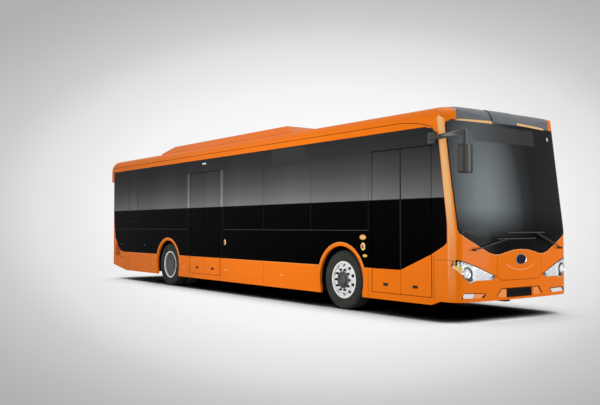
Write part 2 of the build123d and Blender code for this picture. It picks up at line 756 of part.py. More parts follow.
def door_parts(jamb_x, way, stations):
    """Post with arms, leaf and pane of one door; way points from the jamb into the doorway."""
    length = leaf_length(stations)
    post_x = jamb_x - way * shaft_behind_jamb
    near_x = jamb_x + way * door_edge_gap
    far_x = near_x + way * length
    pivot_x = (near_x + far_x) / 2
    shaft = bar_z(post_x, post_y, shaft_r, floor_z + seat_gap, header_z - seat_gap)
    swing = shaft
    for z in (low_arm_z, high_arm_z):
        arm = box(post_x, pivot_x, post_y - arm_w / 2, post_y + arm_w / 2, z, z + arm_t)
        arm = arm + bar_z(pivot_x, post_y, arm_w / 2, z, z + arm_t)
        arm = arm + bar_z(post_x, post_y, shaft_r + 6, z, z + arm_t)
        swing = swing + arm - bar_z(pivot_x, post_y, pivot_r + pin_gap, z - 1, z + arm_t + 1)
    y0 = leaf_mid_y - door_t / 2
    y1 = leaf_mid_y + door_t / 2
    leaf = box(near_x, far_x, y0, y1, door_bottom_z, leaf_top_z)
    frame_w = 55
    glass_z = (band_z + 60, leaf_top_z - 70)
    edge = (near_x + way * frame_w, far_x - way * frame_w)
    leaf = leaf - box(edge[0], edge[1], y0 - 1, y1 + 1, *glass_z)
    seat = box(edge[0] - way * 20, edge[1] + way * 20, y0, y0 + pane_t, glass_z[0] - 20, glass_z[1] + 20)
    leaf = leaf - seat
    for z0, z1, pin in ((door_bottom_z, door_bottom_z + 18, (low_arm_z, door_bottom_z)),
                        (leaf_top_z - 18, leaf_top_z, (leaf_top_z, high_arm_z + arm_t))):
        leaf = leaf + box(pivot_x - 22, pivot_x + 22, y1, post_y + 18, z0, z1)
        leaf = leaf + bar_z(pivot_x, post_y, pivot_r, *pin)
    return swing, leaf, seat


# Drive housings over the doorways carry the posts' upper ends
for stations in doorways:
    header_solids.append(box(stations[0] - 70, stations[1] + 70, -(half_width - wall_t - seat_gap),
                             post_y + 40, header_z, header_z + 90))

# Mirrors: a head hanging from an arm
mirror_low_z = mirror_top_z - mirror_height


def mirror_head(front_x, outer_y, side):
    x0 = front_x - mirror_depth
    y1 = outer_y - mirror_width
    head = box(x0, front_x, side * y1, side * outer_y, mirror_low_z, mirror_top_z)
    return fillet(head.edges(), mirror_edge_r)


mirror_right = mirror_head(mirror_front_x, mirror_outer_y, -1)
hang_x = mirror_front_x - mirror_depth / 2
hang_y = -(mirror_outer_y - mirror_width / 2)
bracket_x = 5500
arm_z = rail_z - 160
mirror_right = mirror_right + bar_z(hang_x, hang_y, arm_r, mirror_top_z - 5, arm_z)
mirror_right = mirror_right + rod((hang_x, hang_y, arm_z), (bracket_x, -half_width - 40, arm_z - 20),
                                  arm_r + 4)
mirror_right = mirror_right + Pos(hang_x, hang_y, arm_z) * Sphere(arm_r + 4)
mirror_right = mirror_right + box(bracket_x - 65, bracket_x + 65, -half_width, -half_width - 50,
                                  arm_z - 95, arm_z + 60)
mirror_left = mirror_head(left_mirror_x, mirror_outer_y, 1)
left_y = mirror_outer_y - mirror_width / 2
left_arm = (left_mirror_x - mirror_depth / 2, left_y, arm_z - 40)
mirror_left = mirror_left + bar_z(left_arm[0], left_y, arm_r, mirror_top_z - 5, left_arm[2])
mirror_left = mirror_left + rod(left_arm, (left_arm[0], half_width, left_arm[2]), arm_r)
mirror_left = mirror_left + Pos(*left_arm) * Sphere(arm_r)

# Wipers: pivots at the lower corners of the windscreen
nose_r = (half_width ** 2 + nose_bulge ** 2) / (2 * nose_bulge)
pivot_base_x = nose_x - nose_r + math.sqrt(nose_r ** 2 - (wiper_pivot_y - wiper_hub_r) ** 2)


def wiper(side, plane_x, hub_out, arm_angle, arm, blade_back):
    """One wiper: its arm leans forward from a short hub to a blade in front of the glass."""
    y = side * wiper_pivot_y
    tip_y = y - side * arm * math.cos(arm_angle)
    tip_z = wiper_pivot_z + arm * math.sin(arm_angle)
    hub_x = pivot_base_x + hub_out
    piece = bar_x(y, wiper_pivot_z, wiper_hub_r, pivot_base_x + seat_gap, hub_x + wiper_arm_r + 3)
    piece = piece + rod((hub_x, y, wiper_pivot_z), (plane_x, tip_y, tip_z), wiper_arm_r)
    start = tip_y + side * blade_back
    end = start - side * wiper_blade
    return piece + box(plane_x - 9, plane_x + 9, start, end, tip_z - 7, tip_z + 7)


wiper_right = wiper(-1, nose_x + 24, 45, math.atan2(149, 670), 686, 240)
wiper_left = wiper(1, nose_x + 52, 62, math.atan2(237, 670), 711, 185)

# Driver's place
dash_outline = [(5560, floor_z + 250), (5780, floor_z + 250), (5780, 1000), (5620, 1100), (5480, 1060),
                (5480, 960)]
dash_y = (200, half_width - 145)
driver_cab = side_prism(dash_outline, *dash_y)
driver_cab = driver_cab + box(5560, floor_front_x, *dash_y, floor_z, floor_z + 300)
column_base = (5600, 700, 1000)
column_top = (5330, 700, 1190)
driver_cab = driver_cab + rod(column_base, column_top, 35)
column_way = (Vector(*column_top) - Vector(*column_base)).normalized()
wheel_plane = Plane(origin=Vector(*column_top) + column_way * 5, z_dir=column_way)
steering_r = 225
driver_cab = driver_cab + wheel_plane * Torus(steering_r, 16) + wheel_plane * Box(2 * steering_r - 20, 40, 14)
partition_x = (4560, 4600)
partition = box(*partition_x, 330, half_width - 75, floor_z, rail_z - 660)

# Seats: plastic shells on a plinth
seat_depth = 430
seat_h = 430


def seat_pair(x, y0, y1, base_z):
    """A forward-facing bench on a plinth."""
    top = base_z + seat_h
    profile = [(x + 90, base_z), (x + 190, base_z), (x + 190, top - 50), (x + seat_depth, top - 40),
               (x + seat_depth, top), (x + 50, top), (x - 30, base_z + 980), (x - 70, base_z + 980),
               (x + 10, top - 40), (x + 90, top - 50)]
    return side_prism(profile, y0, y1)


# Benches: stations on the low floor and on the platform, left (1) and right (-1)
seat_aisle_y = 330
seat_wall_y = half_width - 75
low_seats = {1: (2200, 1420, 640, -140, -920, -1700), -1: (2200, 1420, 640)}
high_seats = (-4250, -5000, -5750)
seat_solids = []
for side in (1, -1):
    for x in low_seats[side]:
        seat_solids.append(seat_pair(x, side * seat_aisle_y, side * seat_wall_y, floor_z))
    for x in high_seats:
        seat_solids.append(seat_pair(x, side * seat_aisle_y, side * seat_wall_y, platform_z))
driver_seat = side_prism([(4800, floor_z), (5050, floor_z), (5050, 850), (5230, 870), (5230, 960),
                          (4850, 960), (4760, 1650), (4660, 1650), (4740, 860)], 450, 950)

# Grab poles from floor to roof
pole_r = 17
pole_places = [(2650, 270), (1100, 270), (-480, 270), (-1300, 270), (1100, -270), (2650, -270), (-120, -560),
               (3900, -540), (3900, 270)]
pole_solids = []
for x, y in pole_places:
    pole = bar_z(x, y, pole_r, floor_z, crown_z) & body_inner
    pole_solids.append(pole)

# Side marker lamps in the skirt
marker_x = (-5403, -3534, -1931, -149, 1806)
marker_solids = []
marker_half = 45
marker_out = 8
marker_z = (455, 480)
for side in (1, -1):
    for x in marker_x:
        marker_solids.append(box(x - marker_half, x + marker_half, side * half_width,
                                 side * (half_width + marker_out), *marker_z))


# Writing the sub-parts
origin_x = (mirror_front_x + rear_cap_x) / 2


def save(name, shape):
    """Write one sub-part, moved so that the whole object is centred on its origin."""
    if isinstance(shape, list):
        shape = Compound(shape) if len(shape) > 1 else shape[0]
    moved = shape.moved(Location((-origin_x, 0, 0)))
    export_step(moved, "parts/" + name + ".step")


os.makedirs("parts", exist_ok=True)
front_left = front_wheel(1)
front_right = front_wheel(-1)
rear_left = rear_wheel(1)
rear_right = rear_wheel(-1)
door_table = [
    ("front_rear", front_door_x[0], 1, front_door_x),
    ("front_front", front_door_x[1], -1, front_door_x),
    ("mid_rear", mid_door_x[0], 1, mid_door_x),
    ("mid_front", mid_door_x[1], -1, mid_door_x),
]
pieces = {
    "chassis": chassis,
    "floor": floor,
    "rear_platform": rear_platform,
    "wheel_boxes": wheel_box_solids,
    "door_headers": header_solids,
    "side_frame_right": side_frame_right.solids(),
    "side_frame_left": side_frame_left,
    "skirts": skirts,
    "side_glass": side_glass,
    "roof": roof,
    "roof_pod": roof_pod,
    "front_cap": front_cap,
    "front_mask": front_mask,
    "windscreen": windscreen,
    "bumper": bumper,
    "front_lid": front_lid,
    "front_lamps": headlamp_solids + fog_solids,
    "rear_panel": rear_panel,
    "rear_cap": rear_cap,
    "rear_lid": rear_lid,
    "rear_lamps": rear_lamp_solids,
    "side_markers": marker_solids,
    "mirrors": [mirror_right, mirror_left],
    "wiper_left": wiper_left,
    "wiper_right": wiper_right,
    "axles": [front_axle_beam(), rear_axle_beam()],
    "knuckle_left": knuckle(1),
    "knuckle_right": knuckle(-1),
    "front_tyre_left": front_left[0],
    "front_rim_left": front_left[1],
    "front_tyre_right": front_right[0],
    "front_rim_right": front_right[1],
    "rear_tyres_left": rear_left[0],
    "rear_rims_left": rear_left[1],
    "rear_tyres_right": rear_right[0],
    "rear_rims_right": rear_right[1],
    "batteries": batteries,
    "driver_cab": [driver_cab, partition],
    "seats": seat_solids + [driver_seat],
    "grab_poles": pole_solids,
}
for label, jamb, way, stations in door_table:
    swing, leaf, pane = door_parts(jamb, way, stations)
    pieces["door_post_" + label] = swing
    pieces["door_leaf_" + label] = leaf
    pieces["door_glass_" + label] = pane
for name, shape in pieces.items():
    save(name, shape)
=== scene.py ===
import bmesh
import bpy
import math
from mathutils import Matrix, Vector


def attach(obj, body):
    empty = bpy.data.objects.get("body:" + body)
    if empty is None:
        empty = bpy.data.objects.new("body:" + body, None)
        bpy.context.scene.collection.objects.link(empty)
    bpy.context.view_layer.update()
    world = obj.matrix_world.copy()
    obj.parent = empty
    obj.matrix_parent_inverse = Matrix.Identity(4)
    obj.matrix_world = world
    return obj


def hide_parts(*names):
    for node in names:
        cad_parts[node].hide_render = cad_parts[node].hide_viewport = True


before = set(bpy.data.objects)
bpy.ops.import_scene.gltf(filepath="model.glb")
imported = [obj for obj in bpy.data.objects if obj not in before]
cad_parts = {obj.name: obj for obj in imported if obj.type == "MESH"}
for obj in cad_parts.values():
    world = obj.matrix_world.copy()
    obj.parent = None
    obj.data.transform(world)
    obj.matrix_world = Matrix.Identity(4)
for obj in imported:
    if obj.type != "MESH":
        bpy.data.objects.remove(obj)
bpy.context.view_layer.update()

# Every place below is a station in metres, with X counted from the body's middle;
# make() moves it back by ORIGIN_X into the frame, which is centred with the mirror.
ORIGIN_X = 0.130
SIDES = (("left", 1), ("right", -1))

# Body shell
HALF_WIDTH = 1.275
NOSE_X = 6.0
NOSE_BULGE = 0.097
CORNER_R = 0.170
RAKE_Z = 1.28
RAKE = 0.125
CAP_Z = 2.842
CAP_RIM = (5.7229, 2.9872)
CAP_TOP = (5.490, 3.062)
REAR_X = -5.930
LEAF_FACE_Y = -1.272
LEAF_INNER_Y = LEAF_FACE_Y + 0.040

# Wheels' places and sizes
FRONT_AXLE = 3.455
REAR_AXLE = -2.730
TYRE_R = 0.478
FRONT_WHEEL_Y = 1.0975
TWIN_PITCH = 0.318
FRONT_FACE_OUT = 0.125
REAR_FACE_IN = TWIN_PITCH / 2 - 0.018
STUD_CIRCLE_R = 0.1675
STUD_COUNT = 10
NUT_SIZE = 0.0195
NUT_LENGTH = 0.034

SHARP_ANGLE = math.radians(35)

# Heights of the side's horizontal lines
SKIRT_Z = 0.245
BAND_Z = 0.700
BELT_Z = 1.28
DOOR_HEAD_Z = 2.493
ROOF_LINE_Z = 2.862


# Materials
def srgb(r, g, b):
    """A colour given as it looks on a screen, 0 to 255."""
    shares = [value / 255 for value in (r, g, b)]
    return (*(v / 12.92 if v <= 0.04045 else ((v + 0.055) / 1.055) ** 2.4 for v in shares), 1.0)


def ramp_in(tree, source, stops):
    """A colour ramp in a node tree, with its stops as (position, colour)."""
    made = tree.nodes.new("ShaderNodeValToRGB")
    elements = made.color_ramp.elements
    while len(elements) < len(stops):
        elements.new(0.5)
    for element, (where, colour) in zip(elements, stops):
        element.position = where
        element.color = colour
    tree.links.new(source, made.inputs["Fac"])
    return made.outputs["Color"]


class Shader:
    """A material with its node tree and its main shader."""

    def __init__(self, name, colour, rough, **sockets):
        self.material = bpy.data.materials.new(name)
        self.material.use_nodes = True
        self.tree = self.material.node_tree
        self.bsdf = self.tree.nodes["Principled BSDF"]
        self.bsdf.inputs["Base Color"].default_value = colour
        self.bsdf.inputs["Roughness"].default_value = rough
        for socket, value in sockets.items():
            self.bsdf.inputs[socket.replace("_", " ")].default_value = value

    def node(self, kind, **values):
        made = self.tree.nodes.new(kind)
        for key, value in values.items():
            setattr(made, key, value)
        return made

    def link(self, source, target):
        self.tree.links.new(source, target)

    def place(self):
        return self.node("ShaderNodeTexCoord").outputs["Object"]

    def axis(self, name):
        split = self.node("ShaderNodeSeparateXYZ")
        self.link(self.place(), split.inputs[0])
        return split.outputs[name]

    def noise(self, scale, detail=3.0, stretch=None):
        texture = self.node("ShaderNodeTexNoise")
        texture.inputs["Scale"].default_value = scale
        texture.inputs["Detail"].default_value = detail
        where = self.place()
        if stretch:
            mapping = self.node("ShaderNodeMapping")
            mapping.inputs["Scale"].default_value = stretch
            self.link(where, mapping.inputs["Vector"])
            where = mapping.outputs[0]
        self.link(where, texture.inputs["Vector"])
        return texture.outputs["Fac"]

    def ramp(self, source, stops):
        return ramp_in(self.tree, source, stops)

    def mask(self, source, *stops):
        """Plain shares of 0 to 1 along a value, as (position, share)."""
        return self.ramp(source, [(where, (share, share, share, 1.0)) for where, share in stops])

    def spread(self, source, low, high):
        """A value from low to high, as 0 to 1."""
        made = self.node("ShaderNodeMapRange")
        made.inputs["From Min"].default_value = low
        made.inputs["From Max"].default_value = high
        self.link(source, made.inputs["Value"])
        return made.outputs["Result"]

    def mix(self, factor, first, second, blend="MIX"):
        made = self.node("ShaderNodeMix", data_type="RGBA", blend_type=blend)
        for value, socket in ((factor, 0), (first, 6), (second, 7)):
            if hasattr(value, "links"):
                self.link(value, made.inputs[socket])
            else:
                made.inputs[socket].default_value = value
        return made.outputs[2]

    def times(self, first, second):
        return self.mix(1.0, first, second, "MULTIPLY")

    def colour(self, output):
        self.link(output, self.bsdf.inputs["Base Color"])

    def bump(self, height, strength, distance):
        made = self.node("ShaderNodeBump")
        made.inputs["Strength"].default_value = strength
        made.inputs["Distance"].default_value = distance
        self.link(height, made.inputs["Height"])
        self.link(made.outputs[0], self.bsdf.inputs["Normal"])

    def rough(self, source, low, high):
        made = self.node("ShaderNodeMapRange")
        made.inputs["To Min"].default_value = low
        made.inputs["To Max"].default_value = high
        self.link(source, made.inputs["Value"])
        self.link(made.outputs["Result"], self.bsdf.inputs["Roughness"])


def plain(name, screen_colour, rough, share=0.12, scale=8.0, strength=0.15, **sockets):
    """One colour that darkens in places by a share, with a fine grain."""
    base = srgb(*screen_colour)
    made = Shader(name, base, rough, **sockets)
    darker = tuple(c * (1 - share) for c in base[:3]) + (1.0,)
    made.colour(made.ramp(made.noise(scale, 4.0), [(0.35, darker), (0.65, base)]))
    made.bump(made.noise(scale * 30), strength, 0.0004)
    return made.material


def orange_paint(name, corner=False):
    """Orange body paint; with corner it has a painted highlight, a pale strip where the wall turns into the
    front that grows stronger higher up.
    """
    base = srgb(246, 121, 4)
    made = Shader(name, base, 0.35, Coat_Weight=0.15, Coat_Roughness=0.10, Specular_IOR_Level=0.1,
                  Specular_Tint=(1.0, 0.45, 0.08, 1.0))
    dust = made.ramp(made.noise(1.3), [(0.3, (0.96, 0.95, 0.94, 1)), (0.7, (1.0, 1.0, 1.0, 1))])
    tone = made.times(base, dust)
    if corner:
        # Painted highlight: pale orange mixed in where the surface faces about 68 degrees round from the
        # front, more of it higher up.
        highlight_turn = math.radians(68)
        facing = made.node("ShaderNodeVectorMath", operation="ABSOLUTE")
        made.link(made.node("ShaderNodeTexCoord").outputs["Normal"], facing.inputs[0])
        turn = made.node("ShaderNodeVectorMath", operation="DOT_PRODUCT")
        made.link(facing.outputs[0], turn.inputs[0])
        turn.inputs[1].default_value = (math.cos(highlight_turn), math.sin(highlight_turn), 0.0)
        strip = made.mask(turn.outputs["Value"], (0.925, 0), (0.975, 0.75), (0.99, 1))
        tall = made.mask(made.spread(made.axis("Z"), 0.3, 1.7), (0.0, 0), (0.12, 0.2), (0.5, 0.35), (1.0, 1))
        tone = made.mix(made.times(strip, tall), tone, srgb(255, 196, 128))
    made.colour(tone)
    made.bump(made.noise(420.0, 2.0), 0.05, 0.0003)
    return made.material


def painted_reflection_glass(name, lift):
    """Dark glass with a painted reflection: black below, and a pale painted horizon that darkens towards the
    roof; lift brightens the painted reflection.
    """
    made = Shader(name, srgb(8, 8, 8), 0.1, IOR=1.08)
    low_z, high_z = 0.6, 2.8
    stops = []
    # Painted reflection: a pale horizon above the window line, black below it.
    for z, grey in ((0.7, 0), (1.7425, 5), (1.7475, 122), (1.95, 100), (2.2, 76), (2.5, 54), (2.74, 48)):
        level = grey + (lift if grey > 40 else lift / 6)
        stops.append(((z - low_z) / (high_z - low_z), srgb(level, level, level)))
    tone = made.ramp(made.spread(made.axis("Z"), low_z, high_z), stops)
    streak = made.mask(made.noise(1.0, 2.0, (0.7, 0.7, 0.02)), (0.35, 0.8), (0.65, 1))
    made.colour(made.times(tone, streak))
    return made.material


def screen_glass():
    """Windscreen: near black, with a soft tall painted reflection on its right half that fades towards its
    foot.
    """
    made = Shader("screen_glass", srgb(35, 35, 36), 0.1, IOR=1.13)
    # Middle and size of the painted reflection.
    reflection_y, reflection_z, reflection_width, reflection_height = -0.68, 1.72, 1.1, 2.1
    mapping = made.node("ShaderNodeMapping")
    mapping.inputs["Location"].default_value = (0.0, -reflection_y / reflection_width, -reflection_z / reflection_height)
    mapping.inputs["Scale"].default_value = (0.0, 1 / reflection_width, 1 / reflection_height)
    made.link(made.place(), mapping.inputs["Vector"])
    glow = made.node("ShaderNodeTexGradient", gradient_type="SPHERICAL")
    made.link(mapping.outputs[0], glow.inputs["Vector"])
    stops = [(0.0, srgb(33, 33, 34)), (0.25, srgb(50, 51, 52)), (0.55, srgb(98, 103, 105)),
             (0.85, srgb(126, 134, 136)), (1.0, srgb(129, 137, 140))]
    tone = made.ramp(glow.outputs["Fac"], stops)
    # Darker towards the foot, where the painted reflection fades out.
    foot = made.mask(made.spread(made.axis("Z"), 1.0, 1.6), (0.30, 0.07), (1.0, 1))
    made.colour(made.times(tone, foot))
    return made.material


def rubber():
    """Dusty tyre rubber."""
    base = srgb(58, 60, 55)
    made = Shader("tyre_rubber", base, 0.75, Specular_IOR_Level=0.15)
    made.colour(made.ramp(made.noise(6.0, 5.0), [(0.3, srgb(44, 46, 42)), (0.7, base)]))
    made.bump(made.noise(260.0, 2.0), 0.25, 0.0006)
    return made.material


def alloy():
    """Bright wheel metal with a finish that varies a little."""
    base = srgb(252, 252, 250)
    made = Shader("wheel_alloy", base, 0.28, Metallic=0.1, Specular_IOR_Level=0.5)
    made.colour(made.ramp(made.noise(9.0, 4.0), [(0.3, srgb(232, 232, 230)), (0.7, base)]))
    made.rough(made.noise(40.0, 3.0), 0.2, 0.38)
    made.bump(made.noise(300.0, 2.0), 0.04, 0.0003)
    return made.material


def sign_face():
    """Blank sign panel, paler towards the door side."""
    made = Shader("sign_grey", srgb(60, 61, 63), 0.6, Specular_IOR_Level=0.05)
    stops = [(0.0, srgb(92, 95, 98)), (0.55, srgb(70, 71, 72)), (1.0, srgb(58, 59, 60))]
    made.colour(made.ramp(made.spread(made.axis("Y"), -0.77, 0.3), stops))
    return made.material


def mirror_plastic():
    """Dark plastic whose head has a painted highlight down its middle, where its faces fold, and painted
    shade at its foot.
    """
    made = Shader("mirror_plastic", srgb(62, 63, 60), 0.5, Specular_IOR_Level=0.3)
    away = made.node("ShaderNodeMath", operation="ABSOLUTE")
    made.link(made.axis("Y"), away.inputs[0])
    # Painted highlight down the middle of the head.
    stops = [(0.0, 60), (0.40, 62), (0.47, 120), (0.53, 120), (0.60, 66), (1.0, 56)]
    fold_highlight = made.ramp(made.spread(away.outputs[0], 1.30, 1.50),
                     [(where, srgb(grey, grey + 1, grey - 2)) for where, grey in stops])
    # Painted shade: darker at the head's foot.
    foot = made.mask(made.spread(made.axis("Z"), 1.95, 2.15), (0.0, 0.25), (0.8, 1))
    made.colour(made.times(fold_highlight, foot))
    made.bump(made.noise(240.0), 0.3, 0.0004)
    return made.material


orange = orange_paint("orange_paint")
orange_corner_highlight = orange_paint("orange_corner_highlight", True)
# The windows' and the door posts' painted reflections; the posts' one is brighter.
side_glass = painted_reflection_glass("side_glass", 0)
post_reflection_glass = painted_reflection_glass("light_post", 34)
windscreen_glass = screen_glass()
black_gloss = plain("black_gloss", (7, 7, 8), 0.18, IOR=1.15)
black_matte = plain("black_matte", (28, 29, 29), 0.6, Specular_IOR_Level=0.2)
# Dark for the gaps, and for painted shade along the plate recess's edge.
gap_and_shade_black = plain("gap_and_shade_black", (52, 27, 12), 0.8, Specular_IOR_Level=0.05)
seam_dark = plain("seam_dark", (6, 6, 6), 0.7, Specular_IOR_Level=0.05)
joint_grey = plain("joint_grey", (42, 42, 43), 0.6, 0.05, Specular_IOR_Level=0.05)
belt_grey = plain("belt_grey", (80, 80, 81), 0.6, 0.05, Specular_IOR_Level=0.05)
cap_grey = plain("cap_grey", (108, 112, 115), 0.42, Specular_IOR_Level=0.3)
sign_grey = sign_face()
mirror_grey = mirror_plastic()
wiper_grey = plain("wiper_grey", (66, 66, 62), 0.5, Specular_IOR_Level=0.3)
side_sign_black = plain("side_sign_black", (56, 56, 57), 0.3, 0.05, IOR=1.08)
# Pale orange for painted highlights along edges and creases.
orange_edge_highlight = plain("orange_edge_highlight", (255, 168, 92), 0.4, 0.05)
fog_amber = plain("fog_amber", (255, 150, 66), 0.3, 0.06)
bezel_black = plain("bezel_black", (30, 34, 38), 0.25, Coat_Weight=0.3)
under_black = plain("under_black", (20, 20, 20), 0.7, Specular_IOR_Level=0.15)
tyre_rubber = rubber()
wheel_alloy = alloy()
# Grey for the painted shade in the rear wheels' deep hollows.
wheel_hollow_shade = plain("wheel_hollow_shade", (136, 138, 136), 0.45, 0.3, 14.0, Metallic=0.2)
hub_grey = plain("hub_grey", (78, 79, 75), 0.5, Metallic=0.3)
nut_dark = plain("nut_dark", (42, 41, 40), 0.45, Metallic=0.4)
chrome = plain("chrome", (222, 224, 226), 0.12, 0.05, Metallic=1.0, strength=0.03)
lamp_white = plain("lamp_white", (252, 254, 255), 0.16, 0.08, Coat_Weight=0.5, strength=0.05)
lamp_cell = plain("lamp_cell", (226, 232, 236), 0.2, 0.25, scale=60.0, strength=0.1)
amber = plain("amber", (246, 168, 48), 0.22, 0.12, Coat_Weight=0.5, strength=0.08)
pale_amber = plain("pale_amber", (250, 196, 132), 0.3, 0.08, strength=0.08)
turn_yellow = plain("turn_yellow", (250, 205, 62), 0.25, 0.08)
pale_bezel = plain("pale_bezel", (244, 222, 130), 0.3, 0.08)
lamp_red = plain("red", (178, 30, 22), 0.22, 0.15, Coat_Weight=0.5, strength=0.08)
white_plastic = plain("white_plastic", (236, 236, 234), 0.4, 0.05)
plate_black = plain("plate_black", (6, 6, 7), 0.5, 0.1, Specular_IOR_Level=0.1)
disc_navy = plain("disc_navy", (12, 16, 40), 0.4, 0.1, Specular_IOR_Level=0.15)
floor_cover = plain("floor_cover", (96, 98, 100), 0.7, 0.3, 50.0)
cab_plastic = plain("cab_plastic", (58, 60, 62), 0.65, strength=0.35)
seat_shell = plain("seat_shell", (70, 76, 92), 0.5, strength=0.25)
pole_paint = plain("pole_paint", (240, 150, 40), 0.3)
mirror_glass = plain("mirror_glass", (210, 214, 218), 0.04, 0.02, Metallic=1.0, strength=0.01)

LEAVES = ("front_rear", "front_front", "mid_rear", "mid_front")
NODE_LOOKS = {
    orange: ["skirts", "roof", "roof_pod", "rear_panel", "rear_cap", "rear_lid"],
    # These parts carry the painted highlight on their rounded corners.
    orange_corner_highlight: ["front_mask", "bumper", "front_lid"],
    # These parts carry the window band's painted reflection.
    side_glass: ["side_frame_right", "side_frame_left", "side_glass", "door_headers"]
    + [f"door_{kind}_{which}" for kind in ("leaf", "glass") for which in LEAVES],
    windscreen_glass: ["windscreen"],
    cap_grey: ["front_cap"],
    under_black: ["chassis", "rear_platform", "axles", "knuckle_left", "knuckle_right", "wheel_boxes"],
    wiper_grey: ["wiper_left", "wiper_right"],
    black_matte: [f"door_post_{which}" for which in LEAVES],
    mirror_grey: ["mirrors"],
    wheel_alloy: ["front_rim_left", "front_rim_right", "rear_rims_left", "rear_rims_right"],
    black_gloss: ["front_lamps", "rear_lamps"],
    amber: ["side_markers"],
    floor_cover: ["floor"],
    cab_plastic: ["driver_cab", "batteries"],
    seat_shell: ["seats"],
    pole_paint: ["grab_poles"],
}
for material, names in NODE_LOOKS.items():
    for name in names:
        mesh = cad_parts[name].data
        if not mesh.materials:
            mesh.materials.append(material)
        for index in range(len(mesh.materials)):
            mesh.materials[index] = material


# Geometry
def make(name, parts, material, body="body", bevel=0.0, smooth=True):
    """One object from several (verts, faces) parts given in stations; it rides on a body."""
    verts, faces = [], []
    for part_verts, part_faces in parts:
        start = len(verts)
        verts += [(x - ORIGIN_X, y, z) for x, y, z in part_verts]
        faces += [tuple(start + i for i in face) for face in part_faces]
    mesh = bpy.data.meshes.new(name)
    mesh.from_pydata(verts, [], faces)
    built = bmesh.new()
    built.from_mesh(mesh)
    bmesh.ops.recalc_face_normals(built, faces=built.faces)
    built.to_mesh(mesh)
    built.free()
    mesh.materials.append(material)
    obj = bpy.data.objects.new(name, mesh)
    bpy.context.scene.collection.objects.link(obj)
    if smooth:
        mesh.shade_smooth()
        mesh.set_sharp_from_angle(angle=SHARP_ANGLE)
    if bevel:
        modifier = obj.modifiers.new("bevel", "BEVEL")
        modifier.width = bevel
        modifier.segments = 2
        modifier.limit_method = "ANGLE"
    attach(obj, body)
    return obj


def trim(name, parts, material, body="body"):
    """Thin flat pieces with hard edges."""
    make(name, parts, material, body, smooth=False)


def block(x0, x1, y0, y1, z0, z1):
    verts = [(x, y, z) for x in (x0, x1) for y in (y0, y1) for z in (z0, z1)]
    return verts, [(0, 1, 3, 2), (4, 6, 7, 5), (0, 4, 5, 1), (2, 3, 7, 6), (0, 2, 6, 4), (1, 5, 7, 3)]


def prism(outline, near, far):
    """A closed slab between two copies of an outline; near and far place its points."""
    count = len(outline)
    verts = [near(*p) for p in outline] + [far(*p) for p in outline]
    faces = [tuple(range(count)), tuple(range(2 * count - 1, count - 1, -1))]
    faces += [(i, (i + 1) % count, count + (i + 1) % count, count + i) for i in range(count)]
    return verts, faces


def side_plate(outline, side, lift, depth=0.004):
    """A slab on a side wall; its outline is in (x, z)."""
    outer = side * (HALF_WIDTH + lift)
    inner = side * (HALF_WIDTH + lift - depth)
    return prism(outline, lambda x, z: (x, outer, z), lambda x, z: (x, inner, z))


def leaf_plate(outline, lift, depth):
    """A slab on a door leaf's outer face; its outline is in (x, z)."""
    outer = LEAF_FACE_Y - lift
    return prism(outline, lambda x, z: (x, outer, z), lambda x, z: (x, outer + depth, z))


def rear_plate(outline, lift, depth):
    """A slab on the rear wall; its outline is in (y, z)."""
    outer = REAR_X - lift
    return prism(outline, lambda y, z: (outer, y, z), lambda y, z: (outer + depth, y, z))


def band(points, width, near, far, closed=False):
    """A ribbon with mitred corners along a line, as a closed slab."""
    count = len(points)
    left, right = [], []
    for i, (a, b) in enumerate(points):
        before = points[i - 1] if i or closed else points[i]
        after = points[(i + 1) % count] if i < count - 1 or closed else points[i]
        ways = []
        for p, q in ((before, (a, b)), ((a, b), after)):
            run = math.hypot(q[0] - p[0], q[1] - p[1])
            if run > 1e-9:
                ways.append(((q[0] - p[0]) / run, (q[1] - p[1]) / run))
        nx = -sum(w[1] for w in ways)
        ny = sum(w[0] for w in ways)
        size = math.hypot(nx, ny)
        nx, ny = nx / size, ny / size
        reach = width / 2 / max(0.4, nx * -ways[0][1] + ny * ways[0][0])
        left.append((a + nx * reach, b + ny * reach))
        right.append((a - nx * reach, b - ny * reach))
    verts, faces = [], []
    for p, q in zip(left, right):
        verts += [near(*p), near(*q), far(*q), far(*p)]
    last = count if closed else count - 1
    for i in range(last):
        j = (i + 1) % count
        for k in range(4):
            m = (k + 1) % 4
            faces.append((4 * i + k, 4 * i + m, 4 * j + m, 4 * j + k))
    if not closed:
        faces += [(0, 1, 2, 3), (4 * count - 4, 4 * count - 1, 4 * count - 2, 4 * count - 3)]
    return verts, faces


def side_line(points, side, width=0.006, lift=0.0012, depth=0.003, closed=False):
    """A ribbon on a side wall along (x, z) points."""
    outer = side * (HALF_WIDTH + lift)
    inner = side * (HALF_WIDTH + lift - depth)
    return band(points, width, lambda x, z: (x, outer, z), lambda x, z: (x, inner, z), closed)


def circle_through(a, b, c):
    """Centre and radius of the circle through three points."""
    d = 2 * (a[0] * (b[1] - c[1]) + b[0] * (c[1] - a[1]) + c[0] * (a[1] - b[1]))
    sa, sb, sc = (p[0] ** 2 + p[1] ** 2 for p in (a, b, c))
    u = (sa * (b[1] - c[1]) + sb * (c[1] - a[1]) + sc * (a[1] - b[1])) / d
    v = (sa * (c[0] - b[0]) + sb * (a[0] - c[0]) + sc * (b[0] - a[0])) / d
    return u, v, math.hypot(a[0] - u, a[1] - v)


CAP_ARC = circle_through((NOSE_X - RAKE * (CAP_Z - RAKE_Z), CAP_Z), CAP_RIM, CAP_TOP)


